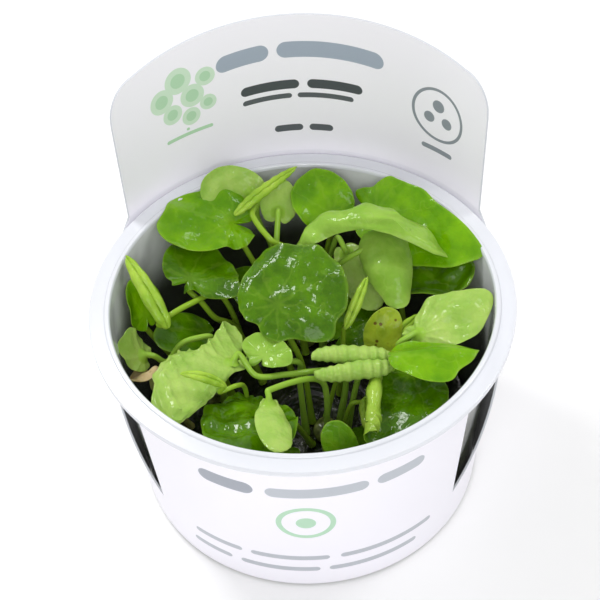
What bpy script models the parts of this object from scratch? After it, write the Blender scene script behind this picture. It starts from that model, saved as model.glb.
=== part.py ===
"""Floating heart plantlets in an open clear cup with a wrapped card sleeve.

The cup stands on the plane z = 0 with its axis on Z. The card's tall header is toward +Y and its
apron toward -Y. Lengths below are millimetres and angles are degrees. Every node is one closed solid.
"""
import math

import bpy
import numpy as np

MM = 0.001          # metres in a millimetre
GAP = 0.3           # room kept between pieces that touch in the real object
CARD_GAP = 0.55     # the sleeve is wrapped a little loosely

# The cup
CUP_HEIGHT = 57.5
CUP_BASE_RADIUS = 41.6
CUP_WALL = 0.9
CUP_FLOOR = 1.0
CUP_INNER_LIP_RADIUS = 45.0
CUP_NECK_RADIUS = 45.8
CUP_NECK_HEIGHT = 55.9
FLANGE_RADIUS = 50.0
FLANGE_STEP = 0.5
FLANGE_SKIRT = 1.5
CUP_SIDES = 36

# The card sleeve
CARD = 0.5
CARD_FOOT = 0.7
APRON_TOP = 55.0
APRON_HALF_ANGLE = 55.0
SLIT_FOOT = 14.5
SLIT_HALF_ANGLE = 53.5      # from the front, where both slits end
HEADER_INNER_RADIUS = 50.9  # at the rim's height
HEADER_LEAN = 0.07          # radius gained for each millimetre of height above the rim
HEADER_HALF_ANGLE = 57.5    # from the back's middle, at the rim's height
HEADER_SHOULDER_ANGLE = 56.0
HEADER_TOP = 98.0
HEADER_ARCH_RADIUS = 216.0
HEADER_CORNER = 9.0
HEADER_ARC_RADIUS = HEADER_INNER_RADIUS + 2.0   # turns the header's angles into lengths along it
BACK_COLUMNS = 23
FRONT_COLUMNS = 15
LOW_ROWS = 6
HIGH_ROWS = 4
FRONT_ROWS = 3
EDGE_CROWDING = 0.35        # draws the header's columns toward its round corners

# The growing medium and the crowns
MEDIUM_TOP = 13.0
CROWN_RADIUS = 3.4
CROWN_HEIGHT = 3.6
CROWN_SIDES = 8
FOOT_HEIGHT = MEDIUM_TOP + GAP

# The leaves
BLADE = 0.5
PETIOLE_RADIUS = 0.75
PETIOLE_SIDES = 6
ROLLED_SIDES = 12
ROLLED_STATIONS = 5
STEPS = 12          # steps that add up a bend

# Colours as the surfaces look in daylight: linear red, green, blue
FRESH = (0.13, 0.33, 0.01)
DARK = (0.05, 0.19, 0.01)
PALE = (0.30, 0.52, 0.06)
WITHERED = (0.36, 0.25, 0.11)


def scene_cleared():
    for thing in list(bpy.data.objects):
        bpy.data.objects.remove(thing, do_unlink=True)


def finish(name, colour, roughness, alpha=1.0):
    """A Principled material of one plain colour."""
    material = bpy.data.materials.new(name)
    material.use_nodes = True
    shader = material.node_tree.nodes["Principled BSDF"]
    shader.inputs["Base Color"].default_value = (*colour, 1.0)
    shader.inputs["Roughness"].default_value = roughness
    shader.inputs["Metallic"].default_value = 0.0
    shader.inputs["Alpha"].default_value = alpha
    return material


def node(name, points, faces, material, sharp=40.0):
    """A mesh object from points in millimetres and faces of point numbers."""
    mesh = bpy.data.meshes.new(name)
    mesh.from_pydata((np.asarray(points, float) * MM).tolist(), [], faces)
    mesh.validate()
    mesh.materials.append(material)
    mesh.shade_smooth()
    mesh.set_sharp_from_angle(angle=math.radians(sharp))
    thing = bpy.data.objects.new(name, mesh)
    bpy.context.scene.collection.objects.link(thing)
    return thing


def fused(name, whole, part):
    """One node from two overlapping closed solids, joined by a union."""
    union = whole.modifiers.new("union", "BOOLEAN")
    union.operation = "UNION"
    union.solver = "EXACT"
    union.object = part
    bpy.context.view_layer.update()
    solid = bpy.data.meshes.new_from_object(whole.evaluated_get(bpy.context.evaluated_depsgraph_get()))
    solid.name = name
    for thing in (whole, part):
        bpy.data.objects.remove(thing, do_unlink=True)
    joined = bpy.data.objects.new(name, solid)
    bpy.context.scene.collection.objects.link(joined)
    return joined


def unit(vector):
    return np.asarray(vector, float) / np.linalg.norm(vector)


def polar(radius, angle, height):
    """A point at a radius, an angle from +Y toward -X, and a height."""
    turn = np.radians(angle)
    return np.stack([-radius * np.sin(turn), radius * np.cos(turn), height + 0 * turn], axis=-1)


def wall_radius(height):
    """The outside of the cup's wall."""
    return CUP_BASE_RADIUS + (CUP_NECK_RADIUS - CUP_BASE_RADIUS) * height / CUP_NECK_HEIGHT


def skin(rings, widest=0):
    """Points and triangles of a closed skin over rings of points, the first and last ring one point each.

    Seen from outside the first point, each ring runs anticlockwise. Where a ring holds fewer points than
    the one before, each of its points takes the same number of the other's. From the widest ring on, the
    creases run the other way, so those of a blade's two faces lie under each other.
    """
    points = np.vstack(rings)
    starts = np.cumsum([0] + [len(ring) for ring in rings])
    faces = []
    for ring in range(len(rings) - 1):
        low, high = len(rings[ring]), len(rings[ring + 1])
        low_at = [starts[ring] + place % low for place in range(low + 1)]
        high_at = [starts[ring + 1] + place % high for place in range(high + 1)]
        if low == 1:
            faces += [(low_at[0], high_at[place], high_at[place + 1]) for place in range(high)]
            continue
        each = low // high
        split = (each + 1) // 2 if ring >= widest else each // 2
        for place in range(high):
            if high > 1:
                faces.append((low_at[place * each + split], high_at[place], high_at[place + 1]))
            for step in range(each):
                near = high_at[place if step < split else place + 1]
                faces.append((low_at[place * each + step], near, low_at[place * each + step + 1]))
    return points, [tuple(int(corner) for corner in face) for face in faces]


def turned(name, profile, material):
    """A solid turned round Z from a profile of radius and height, from the axis at the top to its foot."""
    angles = np.arange(CUP_SIDES) * 360.0 / CUP_SIDES
    top, *inner, foot = profile
    rings = [polar(0.0, np.zeros(1), top[1])]
    rings += [polar(radius, angles, height) for radius, height in inner]
    rings.append(polar(0.0, np.zeros(1), foot[1]))
    return node(name, *skin(rings), material)


def cup():
    """The open cup: floor, tapered wall, raised inner lip, stepped flange and its short skirt."""
    lip = CUP_HEIGHT
    flat = CUP_HEIGHT - FLANGE_STEP
    skirt = flat - FLANGE_SKIRT
    under = CUP_NECK_HEIGHT
    profile = [
        (0.0, 0.0),
        (CUP_BASE_RADIUS - 1.2, 0.0),
        (CUP_BASE_RADIUS, 1.0),
        (CUP_NECK_RADIUS, under),
        (FLANGE_RADIUS - 0.8, under),
        (FLANGE_RADIUS - 0.8, skirt),
        (FLANGE_RADIUS, skirt),
        (FLANGE_RADIUS, flat - 0.3),
        (FLANGE_RADIUS - 0.4, flat),
        (CUP_INNER_LIP_RADIUS + 1.6, flat),
        (CUP_INNER_LIP_RADIUS + 1.2, lip),
        (CUP_INNER_LIP_RADIUS + 0.1, lip),
        (wall_radius(lip - 3.0) - CUP_WALL, lip - 3.0),
        (wall_radius(CUP_FLOOR + 1.5) - CUP_WALL, CUP_FLOOR + 1.5),
        (wall_radius(CUP_FLOOR) - CUP_WALL - 1.5, CUP_FLOOR),
        (0.0, CUP_FLOOR),
    ]
    return turned("cup", profile[::-1], finish("clear_plastic", (0.82, 0.84, 0.86), 0.15, 0.35))


def growing_medium():
    """The dark growing medium that fills the bottom of the cup, a little domed."""
    low = CUP_FLOOR + GAP
    profile = [
        (0.0, low),
        (wall_radius(low) - CUP_WALL - GAP - 2.0, low),
        (wall_radius(low + 2.0) - CUP_WALL - GAP, low + 2.0),
        (wall_radius(MEDIUM_TOP) - CUP_WALL - GAP - 0.2, MEDIUM_TOP - 1.0),
        (wall_radius(MEDIUM_TOP) - CUP_WALL - GAP - 2.5, MEDIUM_TOP),
        (0.0, MEDIUM_TOP),
    ]
    return turned("growing_medium", profile[::-1], finish("wet_medium", (0.012, 0.013, 0.008), 0.25))


def header_top(arc):
    """The header's upper edge over the arc length from its middle: a wide arch with round corners."""
    half = math.radians(HEADER_SHOULDER_ANGLE) * HEADER_ARC_RADIUS
    bend = half - HEADER_CORNER
    arch = HEADER_TOP - np.minimum(np.abs(arc), bend) ** 2 / (2.0 * HEADER_ARCH_RADIUS)
    past = np.clip(np.abs(arc) - bend, 0.0, HEADER_CORNER)
    return arch - HEADER_CORNER + np.sqrt(HEADER_CORNER ** 2 - past ** 2)


def header_rows():
    """Inner points of the card's back: from the slits' ends up to the rim, then up the leaning header."""
    even = np.linspace(-1.0, 1.0, BACK_COLUMNS)
    rows = []
    start = wall_radius(SLIT_FOOT) + CARD_GAP
    for step in np.linspace(0.0, 1.0, LOW_ROWS + 1):
        half = (180.0 - SLIT_HALF_ANGLE) * (1.0 - step) + HEADER_HALF_ANGLE * step
        height = SLIT_FOOT + (CUP_HEIGHT - SLIT_FOOT) * step
        radius = start + (HEADER_INNER_RADIUS - start) * step
        share = even + step * EDGE_CROWDING * (np.sin(even * math.pi / 2.0) - even)
        rows.append(polar(radius, share * half, height))
    top = header_top(share * math.radians(HEADER_SHOULDER_ANGLE) * HEADER_ARC_RADIUS)
    for step in np.linspace(0.0, 1.0, HIGH_ROWS + 1)[1:]:
        height = CUP_HEIGHT + (top - CUP_HEIGHT) * step
        lean = HEADER_HALF_ANGLE + (HEADER_SHOULDER_ANGLE - HEADER_HALF_ANGLE) * step
        radius = HEADER_INNER_RADIUS + HEADER_LEAN * (height - CUP_HEIGHT)
        rows.append(polar(radius, share * lean, height))
    return rows


def card_sleeve():
    """One sheet of card: a low band all round, the front apron on it, and the back that rises as a header.

    The band's top row is shared by the apron and the back, which part at the two slits.
    """
    back = header_rows()
    front_share = np.linspace(-1.0, 1.0, FRONT_COLUMNS)
    sheet = []
    index = {}

    def add(key, point):
        index[key] = len(sheet)
        sheet.append(point)

    band_angles = []
    for column in range(BACK_COLUMNS):
        low = back[0][column]
        add(("seam", "back", column), low)
        band_angles.append(math.degrees(math.atan2(-low[0], low[1])))
    for column in range(1, FRONT_COLUMNS - 1):
        angle = 180.0 + SLIT_HALF_ANGLE * front_share[column]
        radius = wall_radius(SLIT_FOOT) + CARD_GAP
        add(("seam", "front", column), polar(radius, np.array(angle), SLIT_FOOT))
        band_angles.append(angle)
    around = len(band_angles)
    for place, angle in enumerate(band_angles):
        radius = wall_radius(CARD_FOOT) + CARD_GAP
        add(("foot", place), polar(radius, np.array(angle), CARD_FOOT))
    for row in range(1, len(back)):
        for column in range(BACK_COLUMNS):
            add(("back", row, column), back[row][column])
    for row in range(1, FRONT_ROWS + 1):
        step = row / FRONT_ROWS
        half = SLIT_HALF_ANGLE + (APRON_HALF_ANGLE - SLIT_HALF_ANGLE) * step
        height = SLIT_FOOT + (APRON_TOP - SLIT_FOOT) * step
        radius = wall_radius(height) + CARD_GAP
        for column in range(FRONT_COLUMNS):
            angle = 180.0 + half * front_share[column]
            add(("front", row, column), polar(radius, np.array(angle), height))

    def seam(place):
        return place % around

    def back_at(row, column):
        return index[("seam", "back", column)] if row == 0 else index[("back", row, column)]

    def front_at(row, column):
        if row:
            return index[("front", row, column)]
        return seam(BACK_COLUMNS - 1 + column)

    faces = []
    foot = index[("foot", 0)]
    for place in range(around):
        after = seam(place + 1)
        faces.append((foot + place, foot + after, after, place))
    for row in range(len(back) - 1):
        for column in range(BACK_COLUMNS - 1):
            faces.append((back_at(row, column), back_at(row, column + 1),
                          back_at(row + 1, column + 1), back_at(row + 1, column)))
    for row in range(FRONT_ROWS):
        for column in range(FRONT_COLUMNS - 1):
            faces.append((front_at(row, column), front_at(row, column + 1),
                          front_at(row + 1, column + 1), front_at(row + 1, column)))

    inner = np.array(sheet)
    outward = inner * (1.0, 1.0, 0.0)
    outer = inner + outward / np.linalg.norm(outward, axis=1)[:, None] * CARD
    count = len(inner)
    solid = []
    edges = set()
    for face in faces:
        solid.append(tuple(reversed(face)))
        solid.append(tuple(corner + count for corner in face))
        for start, end in zip(face, face[1:] + face[:1]):
            edges.add((start, end))
    for start, end in edges:
        if (end, start) not in edges:
            solid.append((start, end, end + count, start + count))
    return node("card_sleeve", np.vstack([inner, outer]), solid, finish("white_card", (0.9, 0.9, 0.93), 0.5))


def crown(name, place):
    """A short knobbly crown that sits on the medium, where a plantlet's petioles meet."""
    profile = [(0.45, 1.0), (0.85, 0.75), (1.0, 0.35), (0.75, 0.0)]
    turn = 2.0 * math.pi * np.arange(CROWN_SIDES) / CROWN_SIDES
    foot = np.array([[*place, FOOT_HEIGHT]])
    rings = [foot + (0.0, 0.0, CROWN_HEIGHT * 1.05)]
    for share, height in profile:
        radius = CROWN_RADIUS * share * (1.0 + 0.12 * np.sin(3.0 * turn + 5.0 * height))
        rings.append(foot + np.stack([radius * np.cos(turn), radius * np.sin(turn),
                                      np.full(CROWN_SIDES, CROWN_HEIGHT * height)], axis=1))
    rings.append(foot)
    return node(name, *skin(rings), finish(name, (0.10, 0.13, 0.03), 0.5))


class Leaf:
    """A leaf's places and bends.

    base is where the petiole joins the blade, tip the blade's far end, and left a place to the left of
    the midrib as seen from above, which sets how the blade is turned. arch bends the midrib down toward
    the tip and heel does so for the lobes behind the base. cup, fold and curl turn each side up: evenly,
    along the midrib, and near the margin, for the left and the right side. sides makes a side narrower
    and furl turns the sides more toward the tip. out says how far below and behind the base the petiole
    passes before it turns down.
    """

    def __init__(self, name, base, tip, left, width, foot, colour=FRESH, via=(), arch=20.0, heel=15.0,
                 cup=(10.0, 10.0), fold=(0.0, 0.0), curl=(0.0, 0.0), lobe=0.36, notch=0.8,
                 sides=(1.0, 1.0), furl=0.0, rolled=False, stem=PETIOLE_RADIUS, out=(2.6, 1.2)):
        self.name = name
        self.base = np.array(base, float)
        self.tip = np.array(tip, float)
        self.width = width
        self.foot = np.array((*foot, FOOT_HEIGHT), float)
        self.via = [np.array(place, float) for place in via]
        self.colour = colour
        self.arch = math.radians(arch)
        self.heel = math.radians(heel)
        self.cup = np.radians(cup)
        self.fold = np.radians(fold)
        self.curl = np.radians(curl)
        self.lobe = lobe
        self.notch = notch
        self.sides = np.array(sides, float)
        self.furl = furl
        self.rolled = rolled
        self.stem = stem
        self.out = out
        chord = self.tip - self.base
        ahead = unit(chord)
        up = unit(np.cross(ahead, np.asarray(left, float) - self.base))
        half = self.arch / 2.0
        self.ahead = ahead * math.cos(half) + up * math.sin(half)
        self.up = up * math.cos(half) - ahead * math.sin(half)
        self.side = np.cross(self.up, self.ahead)
        self.length = np.linalg.norm(chord) * (half / math.sin(half) if half else 1.0)


def bent(x, y, leaf):
    """The place of a flat blade's point, x toward the tip and y toward the left margin, in millimetres.

    Along the midrib the slope grows evenly, so the midrib is an arc. Across it the slope is fold, which
    starts within a tenth of the half width, plus cup times the share of the half width, plus curl times
    that share cubed. Adding up cosines and sines of the slopes gives the arcs, so lengths are kept.
    """
    steps = (np.arange(STEPS) + 0.5) / STEPS
    share = np.abs(y) / (leaf.width / 2.0)
    turn = np.where(x >= 0.0, leaf.arch, leaf.heel) * np.abs(x) / leaf.length
    slopes = turn[..., None] * steps
    along = x * np.cos(slopes).mean(axis=-1)
    drop = np.abs(x) * np.sin(slopes).mean(axis=-1)
    forward = np.where(x >= 0.0, 1.0, -1.0)
    side = np.where(y >= 0.0, 0, 1)
    part = share[..., None] * steps
    slope = (leaf.fold[side][..., None] * (1.0 - np.exp(-10.0 * part)) + leaf.cup[side][..., None] * part
             + leaf.curl[side][..., None] * part ** 3) * (1.0 + leaf.furl * x / leaf.length)[..., None]
    across = y * np.cos(slope).mean(axis=-1)
    lift = np.abs(y) * np.sin(slope).mean(axis=-1)
    up = leaf.up * np.cos(turn)[..., None] + leaf.ahead * (forward * np.sin(turn))[..., None]
    return (leaf.base + leaf.ahead * along[..., None] - leaf.up * drop[..., None]
            + leaf.side * across[..., None] + up * lift[..., None])


def blade_surface(x, y, leaf):
    """Places and unit normals of the bent blade, the normals from small steps in x and y."""
    near = 0.05
    place = bent(x, y, leaf)
    normal = np.cross(bent(x + near, y, leaf) - bent(x - near, y, leaf),
                      bent(x, y + near, leaf) - bent(x, y - near, leaf))
    return place, normal / np.linalg.norm(normal, axis=-1)[..., None]


def reach(angle, leaf):
    """How far the heart-shaped outline is from the base: an ellipse round it, with a notch at the back."""
    back = leaf.lobe * leaf.length
    centre = (leaf.length - back) / 2.0
    long = (leaf.length + back) / 2.0
    wide = leaf.width / 2.0
    a = (np.cos(angle) / long) ** 2 + (np.sin(angle) / wide) ** 2
    b = -2.0 * centre * np.cos(angle) / long ** 2
    c = (centre / long) ** 2 - 1.0
    whole = (-b + np.sqrt(b * b - 4.0 * a * c)) / (2.0 * a)
    notch = np.exp(-((math.pi - np.abs(angle)) / 0.25) ** 2)
    return np.maximum(whole * (1.0 - leaf.notch * notch), 1.3)


def open_blade(leaf, spokes, rings):
    """An open heart-shaped blade: rings round the base on the upper face, then back on the lower face."""
    share = -1.0 + 2.0 * np.arange(spokes) / spokes
    angle = math.pi * share + 0.45 * np.sin(math.pi * share)
    rim = reach(angle, leaf)
    grow = (np.arange(1, rings + 1) / rings) ** 0.85
    x = grow[:, None] * (rim * np.cos(angle))[None, :]
    y = grow[:, None] * (rim * np.sin(angle) * np.where(angle >= 0.0, *leaf.sides))[None, :]
    place, normal = blade_surface(x, y, leaf)
    middle, straight = blade_surface(np.zeros(1), np.zeros(1), leaf)
    upper = place + normal * BLADE / 2.0
    lower = place - normal * BLADE / 2.0
    stalk_angle = angle[::spokes // PETIOLE_SIDES]
    return [middle + straight * BLADE / 2.0, *upper, *lower[::-1]], stalk_angle


def rolled_blade(leaf, stations):
    """A young blade with both margins rolled in: two ridges side by side with a groove between them."""
    back = -leaf.lobe * leaf.length
    share = np.linspace(1.0, 0.0, stations + 2)[:-1, None]
    half = leaf.width / 2.0 * np.sin(math.pi * share ** 0.75) ** 0.7
    turn = 2.0 * math.pi * np.arange(ROLLED_SIDES)[None, :] / ROLLED_SIDES
    groove = 1.0 - 0.4 * np.exp(-(np.cos(turn) / 0.3) ** 2) * (np.sin(turn) > 0.0)
    height = 0.55 * half * np.sin(turn) * groove
    place, normal = blade_surface(back + (leaf.length - back) * share + 0.0 * turn, half * np.cos(turn), leaf)
    rings = place + normal * height[..., None]
    return [rings[0, :1], *rings[1:]]


def smooth_path(places, per_span):
    """Points on a curve through the places: between each two a cubic, whose slope at a place is the
    chord from the place before to the place after over the way between them, so that no short span
    overshoots.
    """
    places = np.array(places)
    padded = np.vstack([2 * places[0] - places[1], places, 2 * places[-1] - places[-2]])
    ways = np.linalg.norm(np.diff(padded, axis=0), axis=1)
    slopes = (padded[2:] - padded[:-2]) / (ways[1:] + ways[:-1])[:, None]
    share = np.linspace(0.0, 1.0, per_span, endpoint=False)[:, None]
    curve = []
    for start, end, leave, arrive, way in zip(places, places[1:], slopes, slopes[1:], ways[1:]):
        chord = end - start
        curve.append(start + share * (way * leave + share * (3 * chord - way * (2 * leave + arrive)
                                                             + share * (way * (leave + arrive) - 2 * chord))))
    return np.vstack([*curve, places[-1:]])


def stalk_rings(path, radius, across, turn):
    """Rings of a round stalk along a path away from the blade, carried on without twist from across."""
    ahead = np.gradient(path, axis=0)
    ahead /= np.linalg.norm(ahead, axis=1)[:, None]
    rings = []
    for place, direction in zip(path, ahead):
        across = unit(across - direction * np.dot(across, direction))
        other = np.cross(across, direction)
        rings.append(place + radius * (np.cos(turn)[:, None] * across + np.sin(turn)[:, None] * other))
    return rings


def petiole_path(leaf, start):
    """The stalk's smooth path from the blade down to its foot, through the chosen passing places."""
    below, behind = leaf.out
    run_in = leaf.base - leaf.up * below - leaf.ahead * behind
    return smooth_path([start, run_in, *reversed(leaf.via), leaf.foot], 2)


def grown_leaf(leaf):
    """Blade and petiole as the one piece that they grew as."""
    material = finish(leaf.name, leaf.colour, 0.3)
    if not leaf.rolled:
        fine = leaf.width > 20.0
        blade, turn = open_blade(leaf, 18 if fine else 12, 3 if fine else 2)
        path = petiole_path(leaf, leaf.base - leaf.up * 1.1)
        stalk = stalk_rings(path, leaf.stem, leaf.ahead, turn)
        return node(leaf.name, *skin([*blade, *stalk, path[-1:]], len(blade) // 2), material)
    blade = rolled_blade(leaf, ROLLED_STATIONS)
    turn = 2.0 * math.pi * np.arange(PETIOLE_SIDES) / PETIOLE_SIDES
    if leaf.lobe < 0.3:
        path = petiole_path(leaf, blade_surface(np.array([-leaf.lobe * leaf.length]), np.zeros(1), leaf)[0][0])
        stalk = stalk_rings(path, leaf.stem, leaf.side, turn)
        return node(leaf.name, *skin([*blade, *stalk, path[-1:]]), material)
    end = blade_surface(np.array([-leaf.lobe * leaf.length]), np.zeros(1), leaf)[0]
    path = petiole_path(leaf, leaf.base)
    stalk = stalk_rings(path, leaf.stem, leaf.ahead, turn)
    return fused(leaf.name, node(leaf.name + "_blade", *skin([*blade, end]), material),
                 node(leaf.name + "_petiole", *skin([path[:1], *stalk, path[-1:]]), material))


CROWNS = {
    "crown_front": (4.5, -6.5),
    "crown_left": (-25.0, 6.0),
    "crown_back": (-1.0, 25.0),
    "crown_right": (24.0, 8.0),
}

LEAVES = [
    Leaf("leaf_centre_large", (-6, 1.5, 53), (7, 13.5, 57), (-9, 12, 56.5), 25, (0.9, -2.9), DARK,
         via=[(-1, -2, 36)], arch=18, lobe=0.45, notch=0.2, cup=(-6, 0), curl=(-25, -10)),
    Leaf("leaf_centre_puckered", (-9, -9.3, 47.3), (-6.5, -5, 48.2), (-13, -4, 47.8), 13, (-0.6, -6.5), PALE,
         via=[(-1.5, -5.5, 34), (-1.5, -7, 42)], lobe=0.5),
    Leaf("leaf_back_left", (-18, 28, 54), (-35, 25.5, 57), (-28, 20, 54.5), 20, (-6.1, 25), FRESH,
         via=[(-12, 26, 38)], arch=15, sides=(1.0, 0.8), curl=(-30, 0)),
    Leaf("leaf_back_wall_left", (-13.5, 37.5, 55), (-23.5, 36, 59.5), (-17, 39, 60), 12, (-4.6, 28.6), PALE,
         via=[(-9, 35, 38), (-12, 34.2, 50)], out=(2.4, 1.4)),
    Leaf("leaf_left_inner", (-28, 14, 49), (-19, 25, 48), (-33, 22, 50), 20, (-12, 10), DARK,
         via=[(-18, 14, 31), (-22.5, 11, 38), (-25.5, 11, 44)]),
    Leaf("young_leaf_left", (-34, 2, 49), (-42.2, 12.5, 58.5), (-39, 0, 52), 6.5, (-15.5, 17), FRESH,
         via=[(-21, 15, 42), (-28, 7.5, 47)], rolled=True, lobe=0.2, arch=8),
    Leaf("leaf_left_wall", (-39, 7.5, 43), (-42, 12.5, 51), (-43.5, 4, 48), 12, (-28.6, 9.6), DARK),
    Leaf("leaf_left_pleated", (-39, -4, 41.5), (-42.7, -4.5, 49.5), (-40.5, 1.5, 47), 10, (-21.4, 2.4), PALE,
         via=[(-22.5, 1, 42), (-26.5, 0, 43), (-30, -1, 42), (-33.5, -3, 38)]),
    Leaf("leaf_left_withered", (-36.5, -7.5, 38), (-39.5, -15, 44), (-32, -13, 42), 8, (-30, -4), WITHERED,
         arch=60),
    Leaf("leaf_left_low", (-24.5, 8, 35.5), (-37, 3.5, 38.5), (-30, 0, 36.5), 13, (-19.9, 6), DARK, lobe=0.15),
    Leaf("leaf_front_left_large", (-16.5, -11.5, 47), (-29.5, -30, 51), (-32, -8, 50), 26, (8.1, -2.9), PALE,
         via=[(9.5, -4.5, 35), (4, -9, 41), (-4.5, -12.5, 44), (-11, -13.5, 45)], arch=-25, lobe=0.4,
         sides=(1.1, 0.35), cup=(0, 30), fold=(0, 30)),
    Leaf("young_leaf_horn", (-18, -22, 52.5), (-27.5, -21.5, 56), (-22, -25, 54), 3, (-13, -6), FRESH,
         via=[(-13.5, -14, 34), (-13.8, -16, 44), (-15.2, -20.5, 50)], rolled=True, lobe=0.1, arch=40,
         stem=0.6),
    Leaf("leaf_front_glossy", (-12, -20.5, 42), (-12.5, -41.5, 49), (-3, -35, 45.5), 22, (0.9, -10.1), DARK,
         via=[(-5, -14, 30)], arch=20, lobe=0.12, curl=(0, -40)),
    Leaf("leaf_front_pale", (-7.5, -26, 50.5), (-4.2, -42, 53), (-11, -34, 52.5), 9, (4.5, -11.6), PALE,
         via=[(5, -12, 38), (2, -15.5, 46)], arch=-12, lobe=0.1, cup=(20, 30)),
    Leaf("young_leaf_right", (20, -13.5, 49.3), (2.5, -14.3, 51.3), (11, -20, 50), 9, (9.6, -6.5), PALE,
         via=[(14, -5, 38), (18.5, -8, 45.5)], rolled=True, lobe=0.05, arch=8),
    Leaf("leaf_right_folded", (21.5, -15.5, 54.5), (40, -15.5, 55), (30, -9, 53.5), 17, (18, -3), FRESH,
         via=[(24, -7, 42), (24.5, -12, 49.5)], lobe=0.1, sides=(0.5, 1.0), fold=(-35, -35)),
    Leaf("leaf_small_round", (9.5, -29.5, 36), (6, -25, 42), (4, -28, 38), 8, (8, -26), FRESH, stem=0.6),
    Leaf("leaf_front_right_large", (25, -12.5, 43.5), (22.5, -35.2, 44), (40, -20, 46), 25, (25, -5), DARK,
         via=[(25, -8, 30)], lobe=0.12, sides=(0.8, 1.0), curl=(0, 110)),
    Leaf("leaf_right_pale", (27, -6, 50), (43, 0.5, 56), (38.5, -10, 52), 17, (27.6, 4.4), PALE,
         via=[(26, -2, 36), (23, -7.5, 46)], lobe=0.2, arch=-20, out=(1.8, 4.6)),
    Leaf("leaf_right_crumpled", (25, 20.5, 46), (41, 10.5, 51), (34.5, 22, 49.5), 17, (27.6, 11.6), DARK,
         via=[(24, 18, 34)]),
    Leaf("leaf_back_right_large", (17.5, 31, 54), (41, 14.3, 56.8), (28, 33, 60), 23, (7, 26.5), FRESH,
         via=[(16, 32, 38)], arch=15, lobe=0.25, sides=(0.85, 0.8)),
    Leaf("leaf_back_arched", (-1, 22.5, 52.5), (33.4, 13, 57.5), (1.9, 29.2, 45.8), 14, (3.6, 20.4), PALE,
         via=[(2.5, 18.5, 40)], arch=118, lobe=0.12, sides=(0.35, 1.0), cup=(-90, -80)),
    Leaf("leaf_back_draped", (19.5, 21, 56), (24, 4.5, 47.5), (30, 17, 53.5), 15, (4.2, 24), PALE,
         via=[(6.5, 19.5, 44), (10, 18.5, 50), (15, 19.5, 53)], arch=40, lobe=0.1, sides=(0.65, 1.0),
         cup=(-45, -50), furl=1.0),
    Leaf("leaf_back_middle", (7, 32, 53), (-0.5, 41.3, 57.5), (-2, 35, 54.5), 15, (2.6, 28.6), DARK,
         via=[(5, 31, 38)]),
    Leaf("leaf_back_pale", (-6.5, 32.5, 53), (-6, 40, 57.5), (-3, 37, 55.5), 9.5, (-4.6, 21.4), PALE,
         via=[(-7, 23, 46)]),
    Leaf("young_leaf_back", (-11.5, 32.5, 59), (-1.5, 40, 61.5), (-13, 38, 60), 4.5, (-1, 19.9), FRESH,
         via=[(-4.5, 22.5, 50), (-8, 22, 54), (-12.5, 28, 56.5)], rolled=True, lobe=0.58, arch=10),
    Leaf("leaf_centre_pale", (10.5, 24, 46.5), (18, 10, 41), (9, 16.5, 43), 10, (-1, 30.1), PALE,
         via=[(5, 28, 36), (7, 28, 45)], lobe=0.2, arch=-20, out=(1.8, 4.4)),
    Leaf("young_leaf_centre", (10.5, 0.5, 47), (15.5, 9.5, 54), (8, 3, 50), 3, (4.5, -1.4), FRESH,
         via=[(9, 0, 36)], rolled=True, lobe=0.1, arch=10, stem=0.6),
    Leaf("leaf_spotted", (18, -2, 42), (21, 3.5, 49), (15.5, 1.5, 46), 9, (14, 1), FRESH,
         via=[(17, -1, 32)], stem=0.6),
    Leaf("young_leaf_right_tip", (22.5, 0, 43), (27.5, 1, 49), (22, 4, 47), 3, (24, 2.9), FRESH,
         rolled=True, lobe=0.1, arch=20, stem=0.6),
    Leaf("young_leaf_front_bud", (14.5, -10.5, 31), (15.5, -18.5, 29), (19, -15, 31), 4, (8.1, -10.1), FRESH,
         via=[(11, -9.5, 28.5)], rolled=True, lobe=0.1, arch=10, stem=0.6),
    Leaf("leaf_low_front_left", (-8, -17, 21), (-22, -27, 25), (-8, -28, 23), 16, (-6, -11), DARK,
         via=[(-6.2, -12, 17)]),
    Leaf("leaf_low_front_right", (13, -16, 23), (24, -27, 26), (26, -16, 25), 14, (13, -14), DARK),
    Leaf("leaf_low_back", (-10, 15, 38), (-19, 24, 41), (-18, 14, 39), 11, (-4, 12), DARK),
    Leaf("leaf_low_centre", (9, 7, 35), (18, 14, 37), (9, 15, 37), 13, (8, 6), DARK),
]


def main():
    scene_cleared()
    cup()
    card_sleeve()
    growing_medium()
    for crown_name, crown_place in CROWNS.items():
        crown(crown_name, crown_place)
    for one in LEAVES:
        grown_leaf(one)


if __name__ == "__main__":
    main()
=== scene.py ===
"""Floating heart plantlets in a clear cup with a wrapped card sleeve, seen as in the photograph.

Lengths are millimetres and angles degrees unless a name says otherwise. The cup stands on z = 0, the
card's tall header is toward +Y and its apron toward -Y.
"""
import math
from dataclasses import dataclass

import bpy
import numpy as np
from mathutils import Matrix

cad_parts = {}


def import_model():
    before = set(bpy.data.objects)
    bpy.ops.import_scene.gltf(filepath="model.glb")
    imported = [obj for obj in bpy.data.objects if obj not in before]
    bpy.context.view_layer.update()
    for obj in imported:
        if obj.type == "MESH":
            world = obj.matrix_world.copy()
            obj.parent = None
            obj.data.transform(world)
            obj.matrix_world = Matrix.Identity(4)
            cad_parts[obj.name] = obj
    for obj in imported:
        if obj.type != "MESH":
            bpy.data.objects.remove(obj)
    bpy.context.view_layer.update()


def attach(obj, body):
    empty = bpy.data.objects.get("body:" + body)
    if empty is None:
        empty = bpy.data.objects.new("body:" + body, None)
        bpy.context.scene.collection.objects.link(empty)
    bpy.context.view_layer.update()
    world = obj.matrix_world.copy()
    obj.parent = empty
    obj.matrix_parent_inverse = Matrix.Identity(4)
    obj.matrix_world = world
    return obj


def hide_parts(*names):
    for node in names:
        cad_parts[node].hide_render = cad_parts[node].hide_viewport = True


MM = 0.001

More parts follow.
